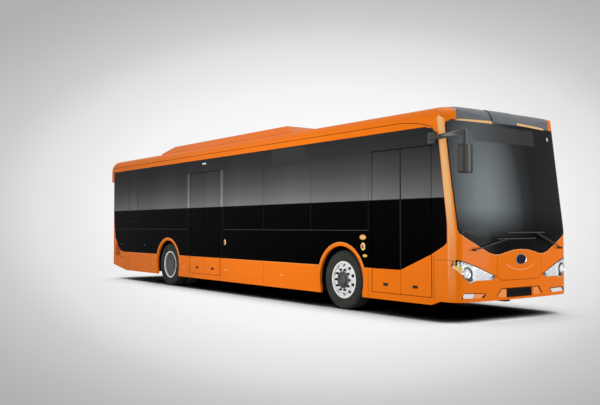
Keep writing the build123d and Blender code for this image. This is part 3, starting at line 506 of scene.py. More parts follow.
def nose_at(y, z):
    """Station of the body's front surface."""
    radius = (HALF_WIDTH ** 2 + NOSE_BULGE ** 2) / (2 * NOSE_BULGE)
    centre = NOSE_X - radius
    corner_y = HALF_WIDTH - CORNER_R
    corner_x = centre + math.sqrt((radius - CORNER_R) ** 2 - corner_y ** 2)
    away = abs(y)
    if away <= corner_y * radius / (radius - CORNER_R):
        x = centre + math.sqrt(radius ** 2 - away ** 2)
    else:
        x = corner_x + math.sqrt(max(0.0, CORNER_R ** 2 - (away - corner_y) ** 2))
    x -= RAKE * max(0.0, z - RAKE_Z)
    if z > CAP_Z:
        u, v, r = CAP_ARC
        x = min(x, u + math.sqrt(max(0.0, r ** 2 - (z - v) ** 2)))
    return x


def on_nose(y, z, lift):
    """A point on the front surface, lifted along its normal."""
    step = 0.004
    slope_y = 0.0
    if abs(y) < HALF_WIDTH - step:
        slope_y = (nose_at(y + step, z) - nose_at(y - step, z)) / (2 * step)
    slope_z = (nose_at(y, z + step) - nose_at(y, z - step)) / (2 * step)
    normal = Vector((1.0, -slope_y, -slope_z)).normalized()
    point = Vector((nose_at(y, z), y, z)) + normal * lift
    return tuple(point)


def nose_plate(outline, lift, depth=0.004, step=0.06):
    """A slab on the front surface; its outline is in (y, z)."""
    built = bmesh.new()
    built.faces.new([built.verts.new((0.0, y, z)) for y, z in outline])
    ys = [p[0] for p in outline]
    zs = [p[1] for p in outline]
    for way, low, high in ((Vector((0, 1, 0)), min(ys), max(ys)), (Vector((0, 0, 1)), min(zs), max(zs))):
        where = low + step
        while where < high - 1e-4:
            everything = built.verts[:] + built.edges[:] + built.faces[:]
            bmesh.ops.bisect_plane(built, geom=everything, plane_co=way * where, plane_no=way)
            where += step
    made = bmesh.ops.extrude_face_region(built, geom=built.faces[:], use_keep_orig=True)
    raised = {v for v in made["geom"] if isinstance(v, bmesh.types.BMVert)}
    for vert in built.verts:
        y, z = vert.co.y, vert.co.z
        vert.co = on_nose(y, z, lift if vert in raised else lift - depth)
    built.verts.index_update()
    verts = [tuple(v.co) for v in built.verts]
    faces = [tuple(v.index for v in face.verts) for face in built.faces]
    built.free()
    return verts, faces


def nose_line(points, width=0.006, lift=0.0012, depth=0.003):
    """A ribbon on the front surface along (y, z) points."""
    dense = []
    for p, q in zip(points, points[1:]):
        parts = max(1, int(math.hypot(q[0] - p[0], q[1] - p[1]) / 0.04))
        dense += [(p[0] + (q[0] - p[0]) * i / parts, p[1] + (q[1] - p[1]) * i / parts) for i in range(parts)]
    dense.append(points[-1])
    return band(dense, width, lambda y, z: on_nose(y, z, lift), lambda y, z: on_nose(y, z, lift - depth))


def lathe(profile, centre, axis, segments=64, wave=None, squash=1.0, closed=False):
    """Turn (radius, width) points about an axis, which is a letter with a sign such as '+Y'."""
    sign = 1 if axis[0] == "+" else -1
    verts, faces = [], []
    count = len(profile)
    for s in range(segments):
        angle = 2 * math.pi * s / segments
        for k, (radius, width) in enumerate(profile):
            r = wave(k, s, radius) if wave else radius
            u, v, w = r * math.cos(angle), r * math.sin(angle) * squash, sign * width
            where = {"X": (w, u, v), "Y": (u, w, v)}[axis[1]]
            verts.append(tuple(c + d for c, d in zip(centre, where)))
    rows = count if closed else count - 1
    for s in range(segments):
        t = (s + 1) % segments
        for k in range(rows):
            m = (k + 1) % count
            faces.append((s * count + k, s * count + m, t * count + m, t * count + k))
    if not closed:
        faces.append(tuple(s * count for s in range(segments)))
        faces.append(tuple(s * count + count - 1 for s in reversed(range(segments))))
    return verts, faces


def tube(points, radius, sides=10):
    """A round closed tube along points."""
    verts, faces = [], []
    for i, point in enumerate(points):
        before = Vector(points[max(0, i - 1)])
        after = Vector(points[min(len(points) - 1, i + 1)])
        way = (after - before).normalized()
        helper = Vector((0, 0, 1)) if abs(way.z) < 0.9 else Vector((1, 0, 0))
        u = way.cross(helper).normalized()
        v = way.cross(u)
        for s in range(sides):
            angle = 2 * math.pi * s / sides
            verts.append(tuple(Vector(point) + (u * math.cos(angle) + v * math.sin(angle)) * radius))
    for i in range(len(points) - 1):
        for s in range(sides):
            t = (s + 1) % sides
            faces.append((i * sides + s, i * sides + t, (i + 1) * sides + t, (i + 1) * sides + s))
    faces.append(tuple(range(sides)))
    faces.append(tuple(range(len(verts) - 1, len(verts) - sides - 1, -1)))
    return verts, faces


def oval(a, b, ra, rb, count):
    """An oval outline."""
    turns = [2 * math.pi * i / count for i in range(count)]
    return [(a + ra * math.cos(turn), b + rb * math.sin(turn)) for turn in turns]


def rounded(a0, a1, b0, b1, r, steps=5):
    """A rectangle's outline with rounded corners."""
    points = []
    corners = ((a1 - r, b1 - r, 0), (a0 + r, b1 - r, 90), (a0 + r, b0 + r, 180), (a1 - r, b0 + r, 270))
    for ca, cb, start in corners:
        for i in range(steps + 1):
            angle = math.radians(start + 90 * i / steps)
            points.append((ca + r * math.cos(angle), cb + r * math.sin(angle)))
    return points


def right_to_left(points):
    """A line across the front, from its half that runs from the middle to the left."""
    return [(-y, z) for y, z in reversed(points)] + points[1:]


def side_dome(x, z, rx, rz, side, rise, base=0.0):
    """A low oval lens on a side wall."""
    profile = [(rx, -0.002)]
    profile += [(rx * math.cos(t), base + rise * math.sin(t)) for t in (0, 0.35, 0.7, 1.0, 1.3, 1.5)]
    return lathe(profile, (x, side * HALF_WIDTH, z), "+Y" if side > 0 else "-Y", 28, squash=rz / rx)


# Wheels
def tyre_parts(x, y, outward):
    """Section of a road tyre with ribs on its wall and grooves round its tread."""
    wall = [(0.287, 0.104), (0.299, 0.112), (0.310, 0.122), (0.330, 0.128), (0.338, 0.1325),
            (0.344, 0.1325), (0.350, 0.131), (0.374, 0.1372), (0.402, 0.1370), (0.408, 0.1350),
            (0.416, 0.1368), (0.434, 0.1320), (0.440, 0.1335), (0.458, 0.1230), (0.4705, 0.1080)]
    tread = [(0.4755, 0.094), (0.4765, 0.074), (0.4655, 0.071), (0.4655, 0.064), (0.4770, 0.061),
             (0.4775, 0.030), (0.4655, 0.027), (0.4655, 0.019), (0.4780, 0.016)]
    half_profile = wall + tread
    profile = half_profile + [(r, -w) for r, w in reversed(half_profile)] + [(0.287, -0.06), (0.287, 0.06)]
    count = len(half_profile)
    shoulder = {12, 13, 14, 15, 16}
    shoulder |= {2 * count - 1 - k for k in shoulder}

    def notch(k, s, radius):
        return radius - 0.006 if k in shoulder and s % 5 == 0 else radius

    return lathe(profile, (x, y, TYRE_R), outward, 240, notch, closed=True)


def nut_parts(x, y, outward, radius=STUD_CIRCLE_R, count=STUD_COUNT, size=NUT_SIZE, length=NUT_LENGTH):
    """Hexagonal nuts on a circle."""
    washer = size * 1.25
    nut = [(washer, 0), (washer, 0.005), (size, 0.006), (size, length - 0.004), (size * 0.8, length)]
    parts = []
    for i in range(count):
        angle = 2 * math.pi * i / count
        centre = (x + radius * math.cos(angle), y, TYRE_R + radius * math.sin(angle))
        parts.append(lathe(nut, centre, outward, 6))
    return parts


def dress_front_wheel(which, side, outward):
    body = f"front_wheel_{which}"
    y = side * FRONT_WHEEL_Y
    face = y + side * FRONT_FACE_OUT
    tyre = tyre_parts(FRONT_AXLE, y, outward)
    tyre = make(f"front_tyre_look_{which}", [tyre], tyre_rubber, body)
    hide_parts(f"front_tyre_{which}")
    nuts = nut_parts(FRONT_AXLE, face + side * 0.0005, outward)
    make(f"front_nuts_{which}", nuts, nut_dark, body)
    hub = [(0.138, 0.0), (0.138, 0.010), (0.128, 0.016), (0.104, 0.018), (0.098, 0.036), (0.086, 0.042),
           (0.060, 0.044), (0.052, 0.036), (0.020, 0.035), (0.004, 0.035)]
    hub = lathe(hub, (FRONT_AXLE, face, TYRE_R), outward, 48)
    make(f"front_hub_{which}", [hub], hub_grey, body)
    bolts = nut_parts(FRONT_AXLE, face + side * 0.036, outward, 0.072, 6, 0.007, 0.012)
    make(f"front_hub_bolts_{which}", bolts, nut_dark, body)


def dress_rear_wheels(which, side, outward, inward):
    body = f"rear_wheels_{which}"
    y = side * FRONT_WHEEL_Y
    face = y - side * REAR_FACE_IN
    tyres = [tyre_parts(REAR_AXLE, y, outward), tyre_parts(REAR_AXLE, y - side * TWIN_PITCH, inward)]
    pair = make(f"rear_tyres_look_{which}", tyres, tyre_rubber, body)
    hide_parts(f"rear_tyres_{which}")
    nuts = nut_parts(REAR_AXLE, face + side * 0.001, outward)
    make(f"rear_nuts_{which}", nuts, nut_dark, body)
    # Painted shade in the rear wheel's deep hollow: a grey ring under the nuts and a grey sheet lining its
    # wall.
    dish = [(0.136, -0.001), (0.136, 0.0012), (0.196, 0.0012), (0.196, -0.001)]
    dish = lathe(dish, (REAR_AXLE, face, TYRE_R), outward, closed=True)
    make(f"rear_dish_{which}", [dish], wheel_hollow_shade, body)
    liner = [(0.2700, 0.090), (0.2700, -0.0575), (0.2225, -0.1320), (0.2210, -0.1312), (0.2685, -0.0568),
             (0.2685, 0.090)]
    liner = lathe(liner, (REAR_AXLE, y, TYRE_R), outward, closed=True)
    make(f"rear_liner_{which}", [liner], wheel_hollow_shade, body)
    hub = [(0.134, 0.0), (0.134, 0.104), (0.126, 0.122), (0.096, 0.128), (0.088, 0.120), (0.030, 0.119),
           (0.004, 0.119)]
    hub = lathe(hub, (REAR_AXLE, face, TYRE_R), outward, 48)
    make(f"rear_hub_{which}", [hub], hub_grey, body)
    bolts = nut_parts(REAR_AXLE, face + side * 0.127, outward, 0.111, 8, 0.007, 0.010)
    make(f"rear_hub_bolts_{which}", bolts, nut_dark, body)


for which, side in SIDES:
    outward, inward = ("+Y", "-Y") if side > 0 else ("-Y", "+Y")
    dress_front_wheel(which, side, outward)
    dress_rear_wheels(which, side, outward, inward)

# Side walls
MARKER_X = (-5.403, -3.534, -1.931, -0.149, 1.806)
PANE_JOINT_X = (-4.923, -4.406, -4.336, -3.644, -1.812, -0.256, 1.195, 2.649, 4.126)
FRONT_POST_X = 5.50
LAMP_FOOT_Z = 0.876


def dress_side(name, side):
    """Gaps, seams, painted highlights along edges, lenses and vent of one side wall."""
    roof_line = [(-5.95, ROOF_LINE_Z), (4.88, ROOF_LINE_Z), (5.20, 2.825), (5.431, 2.767),
                 (FRONT_POST_X, 2.72)]
    lines = [
        side_line(roof_line, side, 0.008),
        side_line([(FRONT_POST_X, LAMP_FOOT_Z), (5.82, LAMP_FOOT_Z)], side, 0.004),
        nose_line([(side * 1.262, LAMP_FOOT_Z), (side * 1.215, 0.872)], 0.004),
        side_line([(FRONT_POST_X, 0.30), (FRONT_POST_X, 0.93)], side, 0.005),
    ]
    for x in (-4.923, -3.644, -1.35 if side > 0 else -1.70, -0.35, 1.195, 4.12):
        lines.append(side_line([(x, SKIRT_Z), (x, 0.695)], side, 0.004))
    trim(f"side_gaps_{name}", lines, gap_and_shade_black)

    belts = [side_line([(x0, BELT_Z), (x1, BELT_Z)], side, 0.006, 0.0006)
             for x0, x1 in ((-5.80, -1.83), (-0.24, 4.12))]
    trim(f"side_belts_{name}", belts, belt_grey)
    seams = [side_line([(x, 1.285), (x, 2.755)], side, 0.007, 0.0006) for x in PANE_JOINT_X]
    seams.append(side_line(rounded(-4.86, -4.40, 1.47, 2.40, 0.07), side, 0.009, 0.0008, closed=True))
    trim(f"side_seams_{name}", seams, joint_grey)

    # Pale lines along the skirts' tops and round the wheel arches: painted highlights on their edges.
    tops = [side_line([(x0, 0.696), (x1, 0.696)], side)
            for x0, x1 in ((-5.19, -3.305), (-2.155, -1.82), (-0.25, 2.88), (4.03, 4.20))]
    arch_r = 0.604
    turns = [math.radians(21.5 + 3.425 * i) for i in range(41)]
    for axle in (FRONT_AXLE, REAR_AXLE):
        arc = [(axle + arch_r * math.cos(turn), TYRE_R + arch_r * math.sin(turn)) for turn in turns]
        tops.append(side_line(arc, side, 0.008, 0.0014))
    trim(f"skirt_edges_{name}", tops, orange_edge_highlight)

    lamps = [side_dome(x, 0.467, 0.046, 0.014, side, 0.010) for x in MARKER_X]
    make(f"marker_lenses_{name}", lamps, turn_yellow)
    vent = []
    for row in range(9):
        z = 0.60 + 0.033 * row
        slat = [(-5.716, z), (-5.43, z), (-5.43, z + 0.016), (-5.716, z + 0.016)]
        vent.append(side_plate(slat, side, 0.001, 0.003))
    vent.append(side_line([(-5.43, 0.584), (-5.40, 0.560), (-5.30, 0.545), (-5.088, 0.544)], side, 0.005))
    trim(f"vent_{name}", vent, gap_and_shade_black)
    studs = [side_plate(oval(x, 0.90, 0.012, 0.012, 16), side, 0.004, 0.006) for x in (-5.33, -3.98)]
    make(f"side_studs_{name}", studs, chrome)


def oval_lamp(name, x, z, rx, rz, side, rim, centre, share=0.62):
    """An oval lamp with a rim in one colour and a lens in another."""
    make(f"{name}_rim", [side_dome(x, z, rx, rz, side, 0.010)], rim)
    lens = side_dome(x, z, rx * share, rz * share, side, 0.008, 0.008)
    make(f"{name}_lens", [lens], centre)


for name, side in reversed(SIDES):
    dress_side(name, side)
for name, side in reversed(SIDES):
    oval_lamp(f"turn_lamp_{name}", 3.997, 1.172, 0.078, 0.042, side, amber, pale_amber)
    oval_lamp(f"low_lamp_{name}", 4.047, 0.885, 0.052, 0.025, side, turn_yellow, pale_amber)
oval_lamp("front_door_button", 4.001, 1.028, 0.054, 0.062, -1, pale_bezel, lamp_red, 0.55)
oval_lamp("mid_door_button", -0.195, 1.026, 0.038, 0.055, -1, pale_bezel, lamp_red, 0.55)
lamp = side_plate(rounded(-1.125, -0.97, 2.652, 2.684, 0.012), -1, 0.006, 0.008)
make("mid_door_lamp", [lamp], white_plastic, bevel=0.002)
# Posts beside the middle doorway, in a brighter painted reflection.
for which, x0, x1 in (("rear", -1.800, -1.692), ("front", -0.385, -0.268)):
    strip = side_plate([(x0, 0.705), (x1, 0.705), (x1, 2.49), (x0, 2.49)], -1, 0.0008, 0.002)
    trim(f"light_post_{which}", [strip], post_reflection_glass)
heads = [side_line([(x0, DOOR_HEAD_Z), (x1, DOOR_HEAD_Z)], -1) for x0, x1 in ((-1.68, -0.397), (4.20, 5.465))]
heads.append(side_line([(4.126, 2.66), (5.60, 2.66)], -1, 0.004, 0.0006))
trim("door_heads", heads, seam_dark)
sign = side_plate(rounded(1.467, 2.486, 2.43, 2.735, 0.01), -1, 0.0006, 0.002)
trim("side_sign", [sign], side_sign_black)

# Doors
BAND_RISE_X = (4.83, 5.448)
BAND_RISE_Z = 0.947


def band_low(x):
    """Lower edge of the black band over a station; it rises along the foremost leaf."""
    start, stop = BAND_RISE_X
    if x <= start:
        return BAND_Z
    return BAND_Z + (x - start) * (BAND_RISE_Z - BAND_Z) / (stop - start)


def dress_leaf(which, x0, x1, grip_x):
    """Orange foot, grip, meeting seal and inner rail of one door leaf."""
    body = f"door_leaf_{which}"
    lower = [(x0, 0.346), (x1, 0.346), (x1, band_low(x1)), (x0, band_low(x0))]
    trim(f"door_skin_{which}", [leaf_plate(lower, 0.0015, 0.0015)], orange, body)
    grip = rounded(grip_x - 0.052, grip_x + 0.052, 0.447, 0.493, 0.008)
    trim(f"door_grip_{which}", [leaf_plate(grip, 0.003, 0.0025)], black_matte, body=body)
    if which.endswith("_rear"):
        meeting_x = x1
        seal = (x1 - 0.008, x1 + 0.0005, LEAF_FACE_Y - 0.0014, LEAF_FACE_Y + 0.041)
    else:
        meeting_x = x0
        seal = (x0 - 0.0005, x0 + 0.008, LEAF_FACE_Y - 0.0014, LEAF_FACE_Y + 0.041)
    low = band_low(meeting_x)
    seal_look = joint_grey if which.startswith("front") else side_glass
    trim(f"door_seal_{which}", [block(*seal, low, 2.48)], seal_look, body=body)
    trim(f"door_foot_{which}", [block(*seal, 0.37, low)], orange, body)
    places = ((0.002, 0.90), (0.030, 0.93), (0.030, 1.77), (0.002, 1.80))
    rail = tube([(x0 + 0.10, LEAF_INNER_Y + out, z) for out, z in places], 0.010)
    make(f"door_rail_{which}", [rail], pole_paint, body)


# Each leaf's edges and the middle of its grip
for which, x0, x1, grip_x in (("front_rear", 4.217, 4.8285, 4.512), ("front_front", 4.8365, 5.448, 5.131),
                              ("mid_rear", -1.663, -1.0425, -1.35), ("mid_front", -1.0345, -0.414, -0.698)):
    dress_leaf(which, x0, x1, grip_x)

# Front
# Left half of the windscreen's outline in (y, z): its foot from the middle out, then its side
SCREEN_FOOT = [(0, 1.022), (0.150, 1.016), (0.300, 0.990), (0.430, 0.958), (0.541, 0.950), (0.66, 0.975),
               (0.83, 1.058), (1.0, 1.140), (1.12, 1.200), (1.193, 1.250)]
SCREEN_SIDE = [(1.211, 1.300), (1.215, 1.6), (1.222, 1.9), (1.227, 2.25), (1.229, 2.76), (1.215, 2.802),
               (1.155, 2.842)]

# Black border round the windscreen, a pale line under it that is a painted highlight on the panel's edge, and
# its lower apron
seal = nose_line(right_to_left(SCREEN_FOOT + SCREEN_SIDE), 0.010, 0.0015)
trim("screen_seal", [seal], seam_dark)
lip = nose_line(right_to_left([(y, z - 0.012) for y, z in SCREEN_FOOT]), 0.008, 0.0018)
trim("screen_lip", [lip], orange_edge_highlight)
apron = SCREEN_FOOT[1:] + [(1.180, 1.290), (0.95, 1.205), (0.62, 1.150), (0.264, 1.122), (0.0, 1.116)]
apron = apron + [(-y, z) for y, z in reversed(apron[:-1])] + [(0.0, 1.022)]
make("screen_apron", [nose_plate(apron, 0.0014, 0.003, 0.08)], black_gloss)

# Blank destination sign and a permit's pale spot behind the glass's upper edge
sign = nose_plate(rounded(-0.77, 0.59, 2.555, 2.787, 0.01), 0.0012, 0.003, 0.1)
make("front_sign", [sign], sign_grey)
permit = nose_plate(oval(0.987, 2.693, 0.018, 0.030, 20), 0.003, 0.003, 0.1)
make("front_permit", [permit], white_plastic)

# Front lid: a bare oval disc in its ring, and a painted highlight along its crease
DISC_SQUASH = 0.64  # its height over its width
disc_centre = (nose_at(0, 0.868), 0.0, 0.868)
ring = [(0.124, -0.003), (0.124, 0.007), (0.116, 0.012), (0.108, 0.009), (0.03, 0.012), (0.004, 0.013)]
ring = lathe(ring, disc_centre, "+X", 48, squash=DISC_SQUASH)
make("front_disc_ring", [ring], chrome, "front_lid")
face = [(0.106, 0.0085), (0.103, 0.014), (0.05, 0.0175), (0.004, 0.018)]
face = lathe(face, disc_centre, "+X", 48, squash=DISC_SQUASH)
make("front_disc", [face], disc_navy, "front_lid")
crease = [(0.33 * t, 0.715 + 0.090 * t * t) for t in (i / 10 for i in range(-10, 11))]
make("lid_crease", [nose_line(crease, 0.011, 0.004, 0.005)], orange_edge_highlight, "front_lid")

# Left headlamp's outlines in (y, z); the right one mirrors them
LAMP = [(0.535, 0.637), (0.640, 0.592), (0.929, 0.593), (1.040, 0.560), (1.163, 0.668), (1.262, 0.792),
        (1.255, 0.868), (1.170, 0.860), (0.927, 0.786)]
LAMP_UPPER_EDGE = LAMP[5:] + LAMP[:1]
LAMP_TURN = [(1.176, 0.700), (1.210, 0.735), (1.248, 0.795), (1.225, 0.812), (1.176, 0.790), (1.160, 0.765)]
LAMP_HOOD = [(1.230, 0.838), (1.160, 0.838), (0.974, 0.784), (0.980, 0.760), (1.05, 0.790), (1.12, 0.806),
             (1.19, 0.812)]
LAMP_FOOT = [(1.130, 0.640), (1.000, 0.640), (0.972, 0.600), (1.040, 0.568), (1.105, 0.615)]
LAMP_TIP = [(0.545, 0.637), (0.64, 0.600), (0.69, 0.602), (0.60, 0.655)]
LENS = (1.093, 0.693)


def lens_ring(start, stop, inner, outer_start, outer_stop, steps=14):
    """Part of a ring round the lens, from its top at start to its foot at stop, in degrees."""
    turns = [math.radians(start + (stop - start) * i / steps) for i in range(steps + 1)]
    outers = [outer_start + (outer_stop - outer_start) * i / steps for i in range(steps + 1)]
    far = [(LENS[0] - r * math.cos(a), LENS[1] + r * math.sin(a)) for a, r in zip(turns, outers)]
    near = [(LENS[0] - inner * math.cos(a), LENS[1] + inner * math.sin(a)) for a in reversed(turns)]
    return far + near


def lamp_cells():
    """Outlines of the small square cells under the lamp's upper edge."""
    cells = []
    width, height = 0.026, 0.023
    for row in range(6):
        for column in range(10):
            y = 0.615 + 0.034 * column
            z = 0.600 + 0.031 * row
            edge_z = 0.625 + (y - 0.52) * 0.38
            if z + 0.02 < edge_z and y + width < 0.945:
                cells.append(rounded(y, y + width, z, z + height, 0.005, 2))
    return cells


def dress_headlamp(which, side):
    """Pale body with square cells, a lens in a dark bezel and an amber side strip."""
    def flip(points):
        return [(side * y, z) for y, z in points]

    def plate(piece, outline, lift, material, slot):
        make(f"lamp_{piece}_{which}", [nose_plate(flip(outline), lift, 0.003)], material)

    body = nose_plate(flip(LAMP), 0.002, 0.004, 0.05)
    make(f"lamp_body_{which}", [body], lamp_white)
    trim(f"lamp_rim_{which}", [nose_line(flip(LAMP_UPPER_EDGE), 0.007, 0.0026)], seam_dark)
    cells = [nose_plate(flip(cell), 0.004, 0.003, 0.2) for cell in lamp_cells()]
    trim(f"lamp_cells_{which}", cells, lamp_cell)
    plate("turn", LAMP_TURN, 0.0035, turn_yellow, "lamp_amber")
    plate("hood", LAMP_HOOD, 0.0035, lamp_cell, "lamp_clear")
    lashes = [nose_line(flip([(1.215, 0.845), (1.150, 0.800)]), 0.007, 0.0042),
              nose_line(flip([(1.160, 0.842), (0.985, 0.788)]), 0.006, 0.0042)]
    trim(f"lamp_lashes_{which}", lashes, bezel_black)
    bezel = [nose_plate(flip(outline), 0.0045, 0.005)
             for outline in (lens_ring(118, -52, 0.070, 0.092, 0.118), LAMP_FOOT)]
    make(f"lamp_bezel_{which}", bezel, bezel_black)
    spot = (side * LENS[0], LENS[1])
    seat = (nose_at(*spot) + 0.002, *spot)
    ring = [(0.073, -0.012), (0.073, 0.006), (0.068, 0.010), (0.060, 0.008), (0.056, -0.01)]
    make(f"lamp_ring_{which}", [lathe(ring, seat, "+X", 40)], chrome)
    lens = [(0.057, -0.012), (0.056, 0.002), (0.046, 0.012), (0.030, 0.019), (0.013, 0.022), (0.003, 0.0225)]
    make(f"lamp_lens_{which}", [lathe(lens, seat, "+X", 40)], lamp_white)
    plate("tip", LAMP_TIP, 0.0035, hub_grey, "wheel_alloy")


for which, side in SIDES:
    dress_headlamp(which, side)

# Low lamps in the bumper: a clear and an amber half on the right, a clear one on the left
white_right = [(-1.197, 0.357), (-1.121, 0.419), (-0.955, 0.411), (-0.985, 0.350)]
amber_right = [(-0.980, 0.350), (-0.950, 0.411), (-0.755, 0.403), (-0.841, 0.344)]
white_left = [(0.790, 0.350), (0.745, 0.405), (1.060, 0.412), (1.130, 0.352)]
make("fog_white_right", [nose_plate(white_right, 0.002)], white_plastic)
make("fog_amber_right", [nose_plate(amber_right, 0.002)], fog_amber)
make("fog_white_left", [nose_plate(white_left, 0.002)], white_plastic)
lids = [nose_line([(-1.125, 0.425), (-0.755, 0.409)], 0.008, 0.002),
        nose_line([(0.735, 0.411), (1.075, 0.419), (1.150, 0.350)], 0.009, 0.002)]
trim("fog_lids", lids, gap_and_shade_black)

# Plate recess with a dark line along its edge, painted shade where it steps in, the blank plate on its back
# wall and a pale wing on each side of it
recess = [(-0.515, 0.362), (-0.43, 0.462), (0.43, 0.462), (0.515, 0.362)]
trim("plate_recess_edge", [nose_line(recess, 0.009)], gap_and_shade_black)
plate = nose_plate(rounded(-0.305, 0.260, 0.334, 0.454, 0.008), -0.004, 0.0075, 0.1)
make("number_plate", [plate], plate_black, bevel=0.001)
wing = [(0.315, 0.450), (0.415, 0.450), (0.500, 0.358), (0.452, 0.338), (0.315, 0.338)]
for which, side in SIDES:
    flat = nose_plate([(side * y, z) for y, z in wing], -0.009, 0.0025)
    make(f"plate_wing_{which}", [flat], fog_amber)

# Roof cap: a raised middle panel with a dark seam, and pale strips along its lower edge
cap_middle = [(-0.368, 2.850), (0.200, 2.850), (0.215, 2.930), (0.260, 3.052), (-0.300, 3.052),
              (-0.330, 3.00), (-0.356, 2.930)]
make("cap_middle", [nose_plate(cap_middle, 0.007, 0.009, 0.03)], cap_grey, bevel=0.002)
seam = [(-0.374, 2.846), (-0.362, 2.930), (-0.336, 3.00), (-0.306, 3.052)]
trim("cap_seam", [nose_line(seam, 0.012, 0.0078, 0.009)], seam_dark)
strip_right = [(-1.095, 2.828), (-0.368, 2.826), (-0.368, 2.866), (-1.01, 2.852)]
strip_left = [(0.200, 2.850), (0.885, 2.830), (0.925, 2.845), (0.845, 2.862), (0.205, 2.882)]
for which, outline in (("right", strip_right), ("left", strip_left)):
    make(f"cap_strip_{which}", [nose_plate(outline, 0.005, 0.007, 0.05)], pale_amber)

# Wipers: rubber blades
for which, y0, y1, z, x in (("right", -0.507, 0.325, 1.167, 6.024), ("left", -0.308, 0.509, 1.255, 6.052)):
    blade = block(x - 0.020, x - 0.0085, y0, y1, z - 0.004, z + 0.004)
    trim(f"wiper_rubber_{which}", [blade], seam_dark, body=f"wiper_{which}")

# Mirrors: glass on the rear of the right head and of the left one
for which, x, y0, y1 in (("right", 6.1185, -1.468, -1.342), ("left", 5.4185, 1.342, 1.468)):
    glass = block(x, x + 0.0014, y0, y1, 2.095, 2.385)
    make(f"mirror_glass_{which}", [glass], mirror_glass, bevel=0.0005)

# Rear
louvres = []
for row in range(10):
    z = 0.62 + 0.045 * row
    louvres.append(rear_plate(rounded(-0.74, 0.74, z, z + 0.020, 0.008, 3), 0.001, 0.003))
trim("rear_louvres", louvres, gap_and_shade_black, body="rear_lid")
REAR_LENS = [(0.050, 0.0), (0.050, 0.008), (0.044, 0.014), (0.030, 0.019), (0.004, 0.021)]
REAR_RING = [(0.053, 0.0), (0.053, 0.008), (0.0505, 0.008), (0.0505, 0.0)]
for which, side in SIDES:
    for colour, z, label in ((lamp_red, 1.255, "tail"), (amber, 1.115, "turn"), (lamp_red, 0.975, "stop")):
        centre = (REAR_X - 0.0003, side * 1.075, z)
        make(f"rear_{label}_{which}", [lathe(REAR_LENS, centre, "-X", 36)], colour)
        ring = lathe(REAR_RING, centre, "-X", 36, closed=True)
        make(f"rear_{label}_ring_{which}", [ring], chrome)
plate = rear_plate(rounded(-0.26, 0.26, 0.415, 0.525, 0.008), 0.004, 0.005)
trim("rear_plate_blank", [plate], white_plastic)


# Stage
def light(name, kind, place, target, energy, **values):
    data = bpy.data.lights.new(name, kind)
    data.energy = energy
    for key, value in values.items():
        setattr(data, key, value)
    obj = bpy.data.objects.new(name, data)
    bpy.context.scene.collection.objects.link(obj)
    obj.location = place
    obj.rotation_euler = (Vector(target) - Vector(place)).to_track_quat("-Z", "Y").to_euler()


def seen_share(tree):
    """1 for rays that show the surroundings to the camera, straight or by metal or glass, else 0."""
    paths = tree.nodes.new("ShaderNodeLightPath")
    share = paths.outputs["Is Camera Ray"]
    for name in ("Is Transmission Ray", "Is Glossy Ray"):
        either = tree.nodes.new("ShaderNodeMath")
        either.operation = "MAXIMUM"
        tree.links.new(share, either.inputs[0])
        tree.links.new(paths.outputs[name], either.inputs[1])
        share = either.outputs[0]
    return share


def world_background(scene):
    """A pale backdrop with darker corners for what is seen, and an even sky for what is lit."""
    world = scene.world or bpy.data.worlds.new("world")
    scene.world = world
    world.use_nodes = True
    tree = world.node_tree
    tree.nodes.clear()
    link = tree.links.new
    out = tree.nodes.new("ShaderNodeOutputWorld")
    shown = tree.nodes.new("ShaderNodeBackground")
    lit = tree.nodes.new("ShaderNodeBackground")
    lit.inputs["Color"].default_value = (0.95, 0.97, 1.0, 1.0)
    lit.inputs["Strength"].default_value = 0.61
    place = tree.nodes.new("ShaderNodeTexCoord")
    mapping = tree.nodes.new("ShaderNodeMapping")
    glow_size = 0.6
    scale = (1 / glow_size, 1 / glow_size, 1.75 / glow_size)
    middle = (-0.779, 0.627, 0.022)
    mapping.inputs["Scale"].default_value = scale
    mapping.inputs["Location"].default_value = tuple(-c * s for c, s in zip(middle, scale))
    link(place.outputs["Generated"], mapping.inputs["Vector"])
    glow = tree.nodes.new("ShaderNodeTexGradient")
    glow.gradient_type = "SPHERICAL"
    link(mapping.outputs[0], glow.inputs["Vector"])
    greys = ((0.05, 176), (0.155, 188), (0.275, 205), (0.367, 225), (0.533, 244), (0.68, 250))
    stops = [(where, srgb(grey, grey, grey)) for where, grey in greys]
    link(ramp_in(tree, glow.outputs["Fac"], stops), shown.inputs["Color"])
    mix = tree.nodes.new("ShaderNodeMixShader")
    link(seen_share(tree), mix.inputs[0])
    link(lit.outputs[0], mix.inputs[1])
    link(shown.outputs[0], mix.inputs[2])
    link(mix.outputs[0], out.inputs["Surface"])


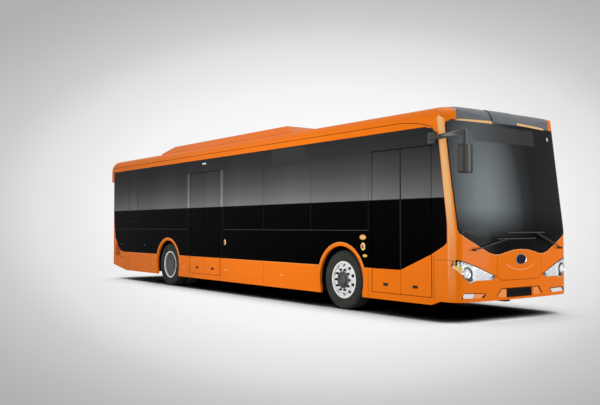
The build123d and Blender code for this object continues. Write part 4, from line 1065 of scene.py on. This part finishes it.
def stage_floor(scene):
    """A pale floor that lets the backdrop through where nothing shades it."""
    floor = Shader("stage_floor", (0.55, 0.55, 0.55, 1.0), 0.9, Specular_IOR_Level=0.0)
    near = floor.node("ShaderNodeAmbientOcclusion", samples=12)
    near.inputs["Distance"].default_value = 1.3
    shade = floor.mask(near.outputs["AO"], (0.22, 0.0), (0.42, 0.09), (0.62, 0.80), (0.82, 1))
    clear = floor.node("ShaderNodeBsdfTransparent")
    floor.link(shade, clear.inputs["Color"])
    blend = floor.node("ShaderNodeMixShader")
    floor.link(seen_share(floor.tree), blend.inputs[0])
    floor.link(floor.bsdf.outputs[0], blend.inputs[1])
    floor.link(clear.outputs[0], blend.inputs[2])
    floor.link(blend.outputs[0], floor.tree.nodes["Material Output"].inputs["Surface"])
    mesh = bpy.data.meshes.new("stage_floor")
    size = 40.0
    corners = [(-size, -size, 0), (size, -size, 0), (size, size, 0), (-size, size, 0)]
    mesh.from_pydata(corners, [], [(0, 1, 2, 3)])
    mesh.materials.append(floor.material)
    ground = bpy.data.objects.new("stage_floor", mesh)
    scene.collection.objects.link(ground)


def build_stage():
    """Backdrop, floor, a soft sun and three soft boxes that stay below the roof's line."""
    scene = bpy.context.scene
    scene.view_settings.view_transform = "Standard"
    world_background(scene)
    stage_floor(scene)
    light("sun_back", "SUN", (-2, 6, 12), (0, 0, 0), 1.32, angle=math.radians(16))
    for name, place, target, energy, width, height in (
            ("fill_side", (1.3, -8.0, 1.45), (1.3, 0, 1.2), 235, 3.0, 2.6),
            ("fill_front", (14.0, 3.0, 1.6), (5.5, 0.5, 1.4), 250, 6.0, 2.8),
            ("corner", (13.6, -10.6, 1.55), (5.8, -1.2, 1.5), 100, 2.4, 2.8)):
        light(name, "AREA", place, target, energy, shape="RECTANGLE", size=width, size_y=height)


build_stage()

# The photo's camera: its focal length in pixels, place and aim
SENSOR_MM = 36.0
PHOTO_WIDTH_PX = 600.0
FOCAL_PX = 746.5
camera_data = bpy.data.cameras.new("camera")
camera_data.sensor_width = SENSOR_MM
camera_data.lens = FOCAL_PX * SENSOR_MM / PHOTO_WIDTH_PX
camera = bpy.data.objects.new("camera", camera_data)
bpy.context.scene.collection.objects.link(camera)
camera.location = (12.803 - ORIGIN_X, -9.017, 1.337)
yaw, pitch = math.radians(143.482), math.radians(1.859)
aim = Vector((math.cos(yaw) * math.cos(pitch), math.sin(yaw) * math.cos(pitch), math.sin(pitch)))
camera.rotation_euler = aim.to_track_quat("-Z", "Y").to_euler()
bpy.context.scene.camera = camera

bpy.context.view_layer.update()
